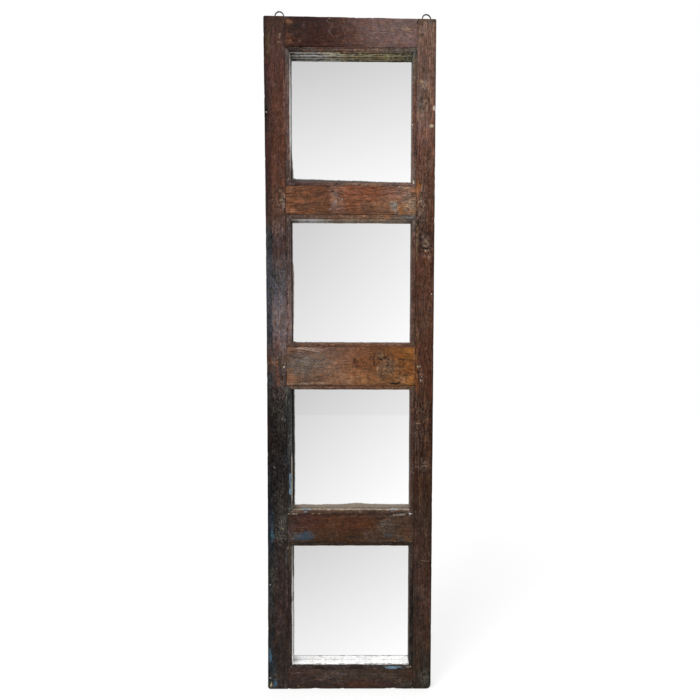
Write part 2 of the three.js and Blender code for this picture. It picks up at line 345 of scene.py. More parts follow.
def ring_columns(low, high, back, front, radii, side_steps):
    """Points and normals of rounded rectangles, one for each station, in (across, depth). The sides go
    round from the back one."""
    signs = ((1, 1), (-1, 1), (-1, -1), (1, -1))
    corner_points, corner_normals = [], []
    for corner, (across_sign, depth_sign) in enumerate(signs):
        radius = radii[:, corner]
        centre_across = high - radius if across_sign > 0 else low + radius
        centre_depth = back - radius if depth_sign > 0 else front + radius
        angles = np.radians(90 * (corner + np.arange(ARC_STEPS + 1) / ARC_STEPS))
        direction = np.stack([np.cos(angles), np.sin(angles)], axis=-1)
        centre = np.stack([centre_across, centre_depth], axis=-1)[:, None]
        corner_points.append(centre + radius[:, None, None] * direction[None])
        corner_normals.append(direction)
    points, normals = [], []
    for corner, steps in enumerate(side_steps):
        onward = (corner + 1) % 4
        share = (np.arange(1, steps) / steps)[None, :, None]
        begin, finish = corner_points[corner][:, -1:], corner_points[onward][:, :1]
        points += [corner_points[corner], begin + (finish - begin) * share]
        normals += [corner_normals[corner], np.repeat(corner_normals[corner][-1:], steps - 1, axis=0)]
    return np.concatenate(points, axis=1), np.concatenate(normals)


class Board:
    """A worn board along x or z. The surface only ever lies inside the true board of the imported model."""

    def __init__(self, name, box):
        self.name = name
        self.across_axis = 2 - self.along_axis
        self.low, self.high = box
        self.seed = BOARD_SEEDS[name]
        self.random = np.random.default_rng(self.seed)
        self.dents = []

    def edges(self, along):
        """Low and high edge across the board at each station"""
        low = np.full(len(along), self.low[self.across_axis])
        high = np.full(len(along), self.high[self.across_axis])
        return low, high

    def arris_radii(self, along):
        """Radius of the four long arrises, which wander between two values"""
        radii = []
        for corner in range(4):
            line = np.stack([along, np.full(len(along), 50.0 * corner), np.zeros(len(along))], axis=-1)
            wander = fractal(line, (38, 1, 1), self.seed + 101 * corner, 4)
            radii.append(LEAST_ARRIS + (MOST_ARRIS - LEAST_ARRIS) * smooth(wander, -0.5, 0.9))
        return np.stack(radii, axis=-1)

    def world(self, across, depth, along):
        columns = [None, depth, None]
        columns[self.across_axis] = across
        columns[self.along_axis] = along
        return np.stack(columns, axis=-1)

    def rings(self):
        start, end = self.low[self.along_axis], self.high[self.along_axis]
        along = stations_along(start, end, STATION_STEP)
        inset = end_inset(np.minimum(along - start, end - along), self.end_rounding)
        low, high = self.edges(along)
        radii = self.arris_radii(along)
        width = self.high[self.across_axis] - self.low[self.across_axis]
        depth = self.high[1] - self.low[1]
        side = round(depth / SIDE_STEP)
        steps = (round(width / BACK_STEP), side, round(width / FRONT_STEP), side)
        flat, flat_normals = ring_columns(low + inset, high - inset, self.high[1] - inset,
                                          self.low[1] + inset, radii, steps)
        stations, count, _ = flat.shape
        spread = np.repeat(along[:, None], count, axis=1)
        points = self.world(flat[..., 0], flat[..., 1], spread)
        normals = self.world(flat_normals[:, 0], flat_normals[:, 1], np.zeros(count))
        return points, np.repeat(normals[None], stations, axis=0)

    def capped(self, points, normals):
        """Closes both ends with rings that face along the board"""
        faces = []
        for sign in (-1, 1):
            normal = np.zeros(3)
            normal[self.along_axis] = sign
            faces.append(np.tile(normal, (len(CAP_SHARES), points.shape[1], 1)))
        return with_caps(points), np.concatenate([faces[0], normals, faces[1]])

    def dent(self, place, size, depth):
        self.dents.append((np.asarray(place, float), np.asarray(size, float), depth))

    def scatter_dents(self):
        """Small knocks on the faces and chips on the arrises"""
        for _ in range(self.knocks):
            place = self.random.uniform(self.low, self.high)
            kind = self.random.uniform()
            place[1] = self.low[1] if self.random.uniform() < FRONT_SHARE else self.high[1]
            size = np.array([1.0, 1.2, 1.0]) * self.random.uniform(*KNOCK_SIZES)
            depth = self.random.uniform(*KNOCK_DEPTHS)
            if kind < CHIP_SHARE:
                edges = (self.low[self.across_axis], self.high[self.across_axis])
                place[self.across_axis] = edges[self.random.integers(2)]
                depth = self.random.uniform(*CHIP_DEPTHS)
            size[self.along_axis] *= self.random.uniform(*KNOCK_STRETCH)
            self.dent(place, size, depth)

    def sink(self, points, normals):
        """How far the worn surface lies below the true one"""
        size = np.full(3, float(RIPPLE_WIDTH))
        size[self.along_axis] = RIPPLE_LENGTH
        depth = RIPPLE_DEPTH * (1 + fractal(points, size, self.seed, 3))
        depth += HOLLOW_DEPTH * (1 + fractal(points, HOLLOW_SIZE, self.seed + 5, 2))
        across_face = np.abs(normals[:, self.along_axis])
        depth *= 1 - 0.7 * np.abs(normals[:, self.across_axis])
        depth += across_face * self.end_roughness * (1 + fractal(points, 6, self.seed + 9, 3))
        rough = 1 + 0.45 * fractal(points, 3.5, self.seed + 21, 2)
        for place, dent_size, dent_depth in self.dents:
            near = (np.abs(points - place) < 1.6 * dent_size).all(axis=1)
            if near.any():
                reach = np.linalg.norm((points[near] - place) / dent_size, axis=1) * rough[near]
                depth[near] += dent_depth * smooth(reach, 1.05, 0.45)
        return depth

    def shaped(self, points):
        """Last change of the outline, after wear"""
        return points

    def build(self):
        points, normals = self.capped(*self.rings())
        flat_points, flat_normals = points.reshape(-1, 3), normals.reshape(-1, 3)
        worn = flat_points - flat_normals * self.sink(flat_points, flat_normals)[:, None]
        worn = self.shaped(worn).reshape(points.shape)
        return new_piece(self.name + "_worn", *loft(worn), "board")


class Stile(Board):
    """An upright. Its top slopes, and its arrises along the rails' shoulders are less worn."""

    along_axis = 2
    end_rounding = END_ROUNDING
    end_roughness = 0.25
    knocks = 90

    def arris_radii(self, along):
        return super().arris_radii(along) * self.seam_shares

    def shaped(self, points):
        """Fits the true board's square top to the leaf's sloping one"""
        share = (top_at(points[:, 0]) - leaf_bottom) / (leaf_top - leaf_bottom)
        points = points.copy()
        points[:, 2] = leaf_bottom + (points[:, 2] - leaf_bottom) * share
        return points


class LeftStile(Stile):
    seam_shares = (SEAM_ARRIS, 1, 1, SEAM_ARRIS)

    def edges(self, along):
        _, high = super().edges(along)
        low = left_edge_at(along)
        low = low + np.clip(CHIPPED_CORNER - (along - leaf_bottom), 0, CHIPPED_CORNER)
        low = low + end_inset(leaf_top - along, TOP_CORNER)
        return low, high


class RightStile(Stile):
    seam_shares = (1, SEAM_ARRIS, SEAM_ARRIS, 1)

    def edges(self, along):
        low, high = super().edges(along)
        high = high - end_inset(along - leaf_bottom, ROUNDED_CORNER)
        high = high - end_inset(leaf_top - along, TOP_CORNER)
        return low, high


class Rail(Board):
    along_axis = 0
    end_rounding = SHOULDER_ROUNDING
    end_roughness = 0.04
    knocks = 22

    def edges(self, along):
        low, high = super().edges(along)
        if self.name == "top_rail":
            high = top_at(along)
        return low, high


def tenon_bars(rail, growth):
    """Lowest and highest corners of the two tenons of a rail, and of its haunches"""
    low, high = node_box(rail)
    middle = front_y / 2
    tenon_low, tenon_high = low[2] + TENON_SHOULDER, high[2] - TENON_SHOULDER
    haunch = None
    if rail == "top_rail":
        tenon_high = leaf_top - TENON_SHOULDER - TOP_HAUNCH
        haunch = (tenon_high - TENON_SHOULDER, leaf_top - TENON_SHOULDER - TOP_FALL)
    if rail == "bottom_rail":
        haunch = (tenon_low, tenon_low + BOTTOM_HAUNCH + TENON_SHOULDER)
        tenon_low += BOTTOM_HAUNCH
    half = TENON_THICKNESS / 2
    bars = [((low[0], middle - half, tenon_low), (high[0], middle + half, tenon_high))]
    if haunch:
        bars.append(((left_inner - HAUNCH_LENGTH, middle - half, haunch[0]),
                     (right_inner + HAUNCH_LENGTH, middle + half, haunch[1])))
    return [(np.array(a) - growth, np.array(b) + growth) for a, b in bars]


STILES = {"left_stile": LeftStile, "right_stile": RightStile}
BOARD_SEEDS = {"left_stile": 11, "right_stile": 23, "top_rail": 31, "upper_rail": 43,
               "middle_rail": 53, "lower_rail": 61, "bottom_rail": 73}

# Knocks that the front shows: x, z, half width, half height and depth, and how far each reaches into y
DENT_REACH = 4
DENTS = {
    "left_stile": [
        (-219, 666, 4, 5, 2.2), (-219, 655, 3, 6, 1.4), (-216, -273, 3, 4, 0.6), (-219, -862, 4, 4, 1.5),
    ],
    "right_stile": [
        (204, 326, 15, 20, 1.2), (192, 340, 4, 22, 1.6), (205, 316, 15, 3, 1.6), (216, 330, 3, 14, 1.6),
        (190, 424, 2.5, 2.5, 2.0), (203, 311, 7, 5, 0.8), (186, 703, 6, 3, 0.5), (197, 697, 3, 9, 0.5),
    ],
    "top_rail": [(-53, 903, 4, 2, 0.8)],
    "upper_rail": [(-20, 440, 3, 3, 0.8)],
    "middle_rail": [
        (14, 10, 5, 9, 0.8), (66, 14, 3, 10, 0.7), (95, 22, 4, 9, 0.9), (120, -48, 12, 3, 1.5),
        (-30, -51, 4, 2, 1.0),
    ],
    "lower_rail": [(80, -414, 9, 3, 0.8)],
    "bottom_rail": [(-141, -885, 3, 2.5, 0.8)],
}


def make_board(name):
    low, high = node_box(name)
    if name in STILES:
        low[2], high[2] = leaf_bottom, leaf_top
    else:
        low[0], high[0] = left_inner + CLEARANCE, right_inner - CLEARANCE
    if name == "top_rail":
        high[2] = top_at(low[0])
    board = STILES.get(name, Rail)(name, (low, high))
    board.scatter_dents()
    for x, z, half_x, half_z, depth in DENTS[name]:
        board.dent((x, front_y, z), (half_x, DENT_REACH, half_z), depth)
    return board.build()


def peg_of(rail, side):
    return f"peg_{rail[:-5]}_{side}"


def node_middle(node):
    low, high = node_box(node)
    return (low + high) / 2


def make_frame():
    """The seven boards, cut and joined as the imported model's are"""
    pieces = {name: make_board(name) for name in [*STILES, *RAILS]}
    pegs = [node_middle(peg_of(rail, side)) for rail in RAILS for side in UPRIGHT_SIDES]
    for name, piece in pieces.items():
        holes = []
        for x, _, z in pegs:
            holes.append(((x, front_y - OVERRUN, z), (x, OVERRUN, z), PEG_DIAMETER + 2 * CLEARANCE))
        if name in STILES:
            through, haunches = [], []
            for rail in RAILS:
                first, *rest = tenon_bars(rail, CLEARANCE)
                through.append(box_body(first[0] - (OVERRUN, 0, 0), first[1] + (OVERRUN, 0, 0)))
                haunches += [box_body(*bar) for bar in rest]
            carve(piece, bodies_joined("mortises", through))
            carve(piece, bodies_joined("haunches", haunches))
            side = name.split("_")[0]
            eye_x = node_middle(f"screw_eye_{side}")[0]
            foot = top_at(eye_x) - EYE_SHANK - EYE_POINT - CLEARANCE
            start, end = (eye_x, front_y / 2, foot), (eye_x, front_y / 2, leaf_top + OVERRUN)
            holes.append((start, end, EYE_WIRE + 2 * CLEARANCE))
        else:
            for bar in tenon_bars(name, 0):
                carve(piece, bodies_joined("tenons", [box_body(*bar)]), "UNION")
        rods = [rod_body(start, end, diameter / 2) for start, end, diameter in holes]
        carve(piece, bodies_joined("holes", rods))
        shade(piece, "board")
    return pieces


# Strips round the openings

def opening_bounds(number):
    """Left, right, bottom and top of an opening, counted from the top"""
    bottom = node_box(RAILS[number])[1][2]
    top = node_box(RAILS[number - 1])[0][2]
    return left_inner, right_inner, bottom, top


def side_span(number, side):
    """The two ends of one side of an opening"""
    left, right, bottom, top = opening_bounds(number)
    return (bottom, top) if side in UPRIGHT_SIDES else (left, right)


def at_side(number, side, inward, depth, along):
    """The place in x, y and z that lies inward from one side of an opening"""
    left, right, bottom, top = opening_bounds(number)
    return {"left": (left + inward, depth, along), "right": (right - inward, depth, along),
            "bottom": (along, depth, bottom + inward), "top": (along, depth, top - inward)}[side]


def finely(outline, step):
    """More points along a closed outline, with the outward direction at each"""
    outline = np.asarray(outline, float)
    points = []
    for start, end in zip(outline, np.roll(outline, -1, axis=0)):
        count = max(1, math.ceil(np.linalg.norm(end - start) / step))
        points += [start + (end - start) * k / count for k in range(count)]
    points = np.array(points)
    tangent = np.roll(points, -1, axis=0) - np.roll(points, 1, axis=0)
    outward = np.stack([tangent[:, 1], -tangent[:, 0]], axis=-1)
    area = np.sum(points[:, 0] * np.roll(points[:, 1], -1) - np.roll(points[:, 0], -1) * points[:, 1])
    outward *= np.sign(area) / np.linalg.norm(outward, axis=1, keepdims=True)
    return points, outward


def moulding_outline(number):
    """Section of a moulding, as distance into the opening and y, and its most worn corner"""
    low, high = node_box(f"moulding_{number}_left")
    width, top, back = high[0] - left_inner, low[1], high[1]
    outline = [(CLEARANCE, back), (CLEARANCE, top), (FILLET_WIDTH, top), (FILLET_WIDTH, top + QUIRK_DEPTH)]
    drop = SLOPE_DEPTH - QUIRK_DEPTH
    for step in range(1, SLOPE_STEPS + 1):
        angle = math.pi / 2 * step / SLOPE_STEPS
        outline.append((FILLET_WIDTH + (width - FILLET_WIDTH) * math.sin(angle),
                        top + QUIRK_DEPTH + drop * (1 - math.cos(angle))))
    return outline + [(width, back)], outline[-1]


def bead_outline(number):
    """The same for a bead"""
    low, high = node_box(f"bead_{number}_left")
    width, front, back = high[0] - left_inner, low[1], high[1]
    corner = (width, back - BEAD_CHAMFER)
    outline = [(CLEARANCE, front), (CLEARANCE, back), (width - BEAD_CHAMFER, back), corner, (width, front)]
    return outline, corner


def make_strip(name, number, side, outline, worn_at, wear, seed):
    """A mitred strip whose surface is uneven, and most worn near one place of its section"""
    section, outward = finely(outline, STRIP_STEP)
    start, end = side_span(number, side)
    share = np.linspace(0, 1, max(2, round((end - start) / STRIP_STEP)))[:, None]
    gap = CLEARANCE / math.sqrt(2)
    inset = section[None, :, 0] + gap
    along = start + inset + (end - start - 2 * inset) * share
    line = np.stack([along.ravel(), np.tile(section[:, 0] + 9 * section[:, 1], len(share)),
                     np.zeros(along.size)], axis=-1)
    sink = STRIP_RIPPLE_DEPTH * (1 + fractal(line, STRIP_RIPPLE, seed, 4)).reshape(along.shape)
    worn = wear * smooth(line_noise(along[:, 0], 26, seed + 3), -0.6, 0.9)
    near = np.exp(-((section - np.array(worn_at)) ** 2).sum(1) / CORNER_REACH**2)
    sink += worn[:, None] * near[None]
    across = section[None, :, 0] - outward[None, :, 0] * sink
    depth = section[None, :, 1] - outward[None, :, 1] * sink
    rings = at_side(number, side, across, depth, along)
    return new_piece(name, *loft(np.stack(rings, axis=-1)), "strip")


# Each kind of strip: the word that its pieces' names end in, its section and how far its corner is worn
STRIPS = {"moulding": ("worn", moulding_outline, 1.1), "bead": ("sawn", bead_outline, 0.4)}


def make_strips(kind):
    ending, outline_of, wear = STRIPS[kind]
    pieces = {}
    for number in OPENINGS:
        outline, corner = outline_of(number)
        for index, side in enumerate(SIDES):
            node = f"{kind}_{number}_{side}"
            seed = SEEDS[kind] + 10 * number + index
            pieces[node] = make_strip(f"{node}_{ending}", number, side, outline, corner, wear, seed)
    return pieces


# Sheets, pegs, nails and screw eyes

def make_sheet(name, node, arris, step, swell, seed):
    """A thin sheet with rounded arrises, out of true by the swell"""
    low, high = node_box(node)
    rows = round((high[2] - low[2]) / step)
    along = np.concatenate([[low[2], low[2] + 0.3 * arris, low[2] + arris],
                            np.linspace(low[2] + 2 * arris, high[2] - 2 * arris, rows),
                            [high[2] - arris, high[2] - 0.3 * arris, high[2]]])
    inset = end_inset(np.minimum(along - low[2], high[2] - along), arris)
    radii = np.full((len(along), 4), arris * 0.9)
    across = round((high[0] - low[0]) / step)
    flat, _ = ring_columns(low[0] + inset, high[0] - inset, high[1] - 0.5 * inset, low[1] + 0.5 * inset,
                           radii, (across, 2, across, 2))
    spread = np.repeat(along[:, None], flat.shape[1], axis=1)
    points = with_caps(np.stack([flat[..., 0], flat[..., 1], spread], axis=-1))
    bent = points.reshape(-1, 3).copy()
    middle = (low[1] + high[1]) / 2
    bent[:, 1] += (middle - bent[:, 1]) * 0.5 * swell * (1 + fractal(bent, (70, 400, 70), seed, 2))
    return new_piece(name, *loft(bent.reshape(points.shape)), "sheet")


# Each kind of sheet: the word that its pieces' names end in, radius of its arrises, fineness and swell
SHEETS = {"mirror": ("pane", 0.7, 11, 0.004), "backing": ("board", 0.8, 6, 0.12)}


def make_sheets():
    pieces = {}
    for number in OPENINGS:
        for kind, (ending, *form) in SHEETS.items():
            node = f"{kind}_{number}"
            pieces[node] = make_sheet(f"{node}_{ending}", node, *form, SEEDS[kind] + number)
    return pieces


def turned_body(profile, origin, direction, sides, uneven, seed):
    """A lathe form: the profile gives the distance along the direction and the radius"""
    direction = Vector(direction).normalized()
    turn = direction.to_track_quat("Z", "Y")
    random = np.random.default_rng(seed)
    waver = 1 + uneven * random.uniform(-1, 1, sides)
    rings = []
    for distance, radius in profile:
        ring = []
        for side in range(sides):
            angle = 2 * math.pi * side / sides
            reach = radius * waver[side]
            offset = Vector((reach * math.cos(angle), reach * math.sin(angle), distance))
            ring.append(Vector(origin) + turn @ offset)
        rings.append([list(p) for p in ring])
    return loft(np.array(rings))


def make_pegs():
    pieces = {}
    for index, rail in enumerate(RAILS):
        for side in UPRIGHT_SIDES:
            node = peg_of(rail, side)
            low, high = node_box(node)
            centre = (low + high) / 2
            head, tip, length = PEG_DIAMETER / 2, PEG_DIAMETER / 2 - PEG_TAPER, high[1] - low[1]
            profile = [(0.35, 0.3), (0.28, head * 0.45), (0.18, head * 0.8), (0.3, head * 0.93), (0.9, head)]
            profile += [(length * share, head + (tip - head) * share) for share in (0.2, 0.4, 0.6, 0.8)]
            profile += [(length - 0.8, tip), (length - 0.2, tip * 0.88), (length - 0.05, tip * 0.5),
                        (length, 0.3)]
            vertices, faces = turned_body(profile, (centre[0], low[1], centre[2]), (0, 1, 0), PEG_SIDES,
                                          0.035, SEEDS["peg"] + index)
            dome = 0.25 * fractal(vertices, 2.2, SEEDS["peg_dome"] + index, 2)
            near_head = vertices[:, 1] < low[1] + 0.7
            vertices[near_head, 1] = np.maximum(vertices[near_head, 1] + dome[near_head], low[1])
            pieces[node] = new_piece(node + "_whittled", vertices, faces, "peg")
    return pieces


class EyeLine:
    """Centre line of a screw eye: straight shank, short neck, and a ring that nearly closes"""

    def __init__(self):
        self.ring = (EYE_RING - EYE_WIRE) / 2
        self.neck = self.ring * math.sin(EYE_NECK) / (1 - math.sin(EYE_NECK))
        self.height = (self.ring + self.neck) * math.cos(EYE_NECK)
        self.neck_length = self.neck * (math.pi / 2 - EYE_NECK)
        self.ring_length = self.ring * (2 * math.pi - EYE_NECK - EYE_END)
        self.length = EYE_SHANK + self.neck_length + self.ring_length

    def at(self, walked):
        """Place and direction, in the plane of the ring"""
        if walked < EYE_SHANK:
            return (0, walked - EYE_SHANK), (0, 1)
        if walked < EYE_SHANK + self.neck_length:
            turn = (walked - EYE_SHANK) / self.neck
            return ((self.neck * (1 - math.cos(turn)), self.neck * math.sin(turn)),
                    (math.sin(turn), math.cos(turn)))
        turn = (walked - EYE_SHANK - self.neck_length) / self.ring + EYE_NECK
        return ((self.ring * math.sin(turn), self.height - self.ring * math.cos(turn)),
                (math.cos(turn), math.sin(turn)))


def make_eyes():
    """Wire screw eyes with a cut thread and a gimlet point"""
    pieces = {}
    line = EyeLine()
    walks = [(-EYE_POINT * (1 - k / 10), 0.12 + 0.88 * k / 10) for k in range(10)]
    walks += [(w, 1.0) for w in np.linspace(0, EYE_SHANK, 70)[:-1]]
    walks += [(w, 1.0) for w in np.linspace(EYE_SHANK, line.length - 0.5, 110)]
    walks += [(line.length - 0.25, 0.93), (line.length, 0.75)]
    for index, side in enumerate(UPRIGHT_SIDES):
        node = f"screw_eye_{side}"
        origin = np.array([node_middle(node)[0], front_y / 2, 0])
        origin[2] = top_at(origin[0])
        turn = EYE_TURN[side]
        plane = np.array([math.cos(turn), math.sin(turn), 0])
        across = np.array([-math.sin(turn), math.cos(turn), 0])
        rings = []
        for walked, share in walks:
            place, direction = line.at(walked)
            centre = origin + plane * place[0] + np.array([0, 0, place[1]])
            normal = plane * direction[1] - np.array([0, 0, direction[0]])
            ring = []
            for k in range(WIRE_SIDES):
                angle = 2 * math.pi * k / WIRE_SIDES
                wire = EYE_WIRE / 2 * share
                if walked < THREAD_TOP:
                    crest = 0.5 + 0.5 * math.cos(2 * math.pi * walked / THREAD_PITCH - angle)
                    wire *= 0.72 + 0.28 * crest**2
                ring.append(centre + wire * (math.cos(angle) * normal + math.sin(angle) * across))
            rings.append(ring)
        rings = np.array(rings)
        flat = rings.reshape(-1, 3)
        centres = np.repeat(rings.mean(1), WIRE_SIDES, axis=0)
        pit = 1 - 0.035 * (1 + fractal(flat, 2.5, SEEDS["eye"] + index, 3))
        flat = centres + (flat - centres) * pit[:, None]
        pieces[node] = new_piece(node + "_forged", *loft(flat.reshape(rings.shape)), "eye")
    return pieces


# A headed nail: how deep it is and its radius there. Then the places of the nails along a strip, which waver
# by a small share, and those that the photo shows.
BRAD_PROFILE = ((-0.22, 0.25), (-0.2, 0.75), (-0.02, 1.15), (0.25, 1.25), (0.5, 1.0), (0.9, 0.65),
                (12.0, 0.6), (13.6, 0.2))
BRAD_SHARES = (0.14, 0.5, 0.86)
BRAD_WAVER = 0.02
BRAD_SHARES_SEEN = {("moulding_nails", 1, "top"): (0.317, 0.465, 0.747)}
OUTWARD = {"left": (-1, 0), "right": (1, 0), "top": (0, 1), "bottom": (0, -1)}


def make_brads(name, inward, depth, outward, back):
    """Nails in every strip round the openings. They lean outward from the opening."""
    seed = SEEDS[name]
    random = np.random.default_rng(seed)
    bodies = []
    for number in OPENINGS:
        for side in SIDES:
            start, end = side_span(number, side)
            x, z = OUTWARD[side]
            for index, share in enumerate(BRAD_SHARES):
                share += random.uniform(-BRAD_WAVER, BRAD_WAVER)
                if (name, number, side) in BRAD_SHARES_SEEN:
                    share = BRAD_SHARES_SEEN[name, number, side][index]
                spot = at_side(number, side, inward, depth, start + (end - start) * share)
                lean = (x * outward, back, z * outward)
                bodies.append(turned_body(BRAD_PROFILE, spot, lean, BRAD_SIDES, 0.06, seed + len(bodies)))
    return bodies_joined(name, bodies, "nail")


# Colours, each as it shows on screen from 0 to 255

HUES = {
    "chocolate": (70, 44, 36),
    "umber": (58, 42, 36),
    "soot": (34, 30, 30),
    "pitch": (24, 22, 23),
    "plum": (62, 44, 44),
    "russet": (96, 56, 40),
    "brick": (110, 66, 48),
    "orange": (150, 92, 50),
    "amber": (150, 98, 52),
    "tan": (142, 108, 82),
    "sand": (168, 142, 116),
    "cream": (196, 180, 150),
    "bone": (208, 198, 180),
    "chalk": (214, 214, 212),
    "mauve": (112, 92, 90),
    "rose": (136, 108, 98),
    "taupe": (98, 84, 76),
    "grey": (100, 98, 96),
    "slate": (74, 78, 84),
    "steel": (64, 76, 88),
    "blue": (78, 108, 128),
    "sky": (128, 156, 176),
    "teal": (74, 88, 86),
    "moss": (62, 62, 54),
    "olive": (92, 84, 58),
    "khaki": (128, 118, 92),
    "silver": (150, 150, 146),
    "peach": (160, 112, 84),
    "white": (250, 250, 249),
    "blush": (172, 144, 130),
}

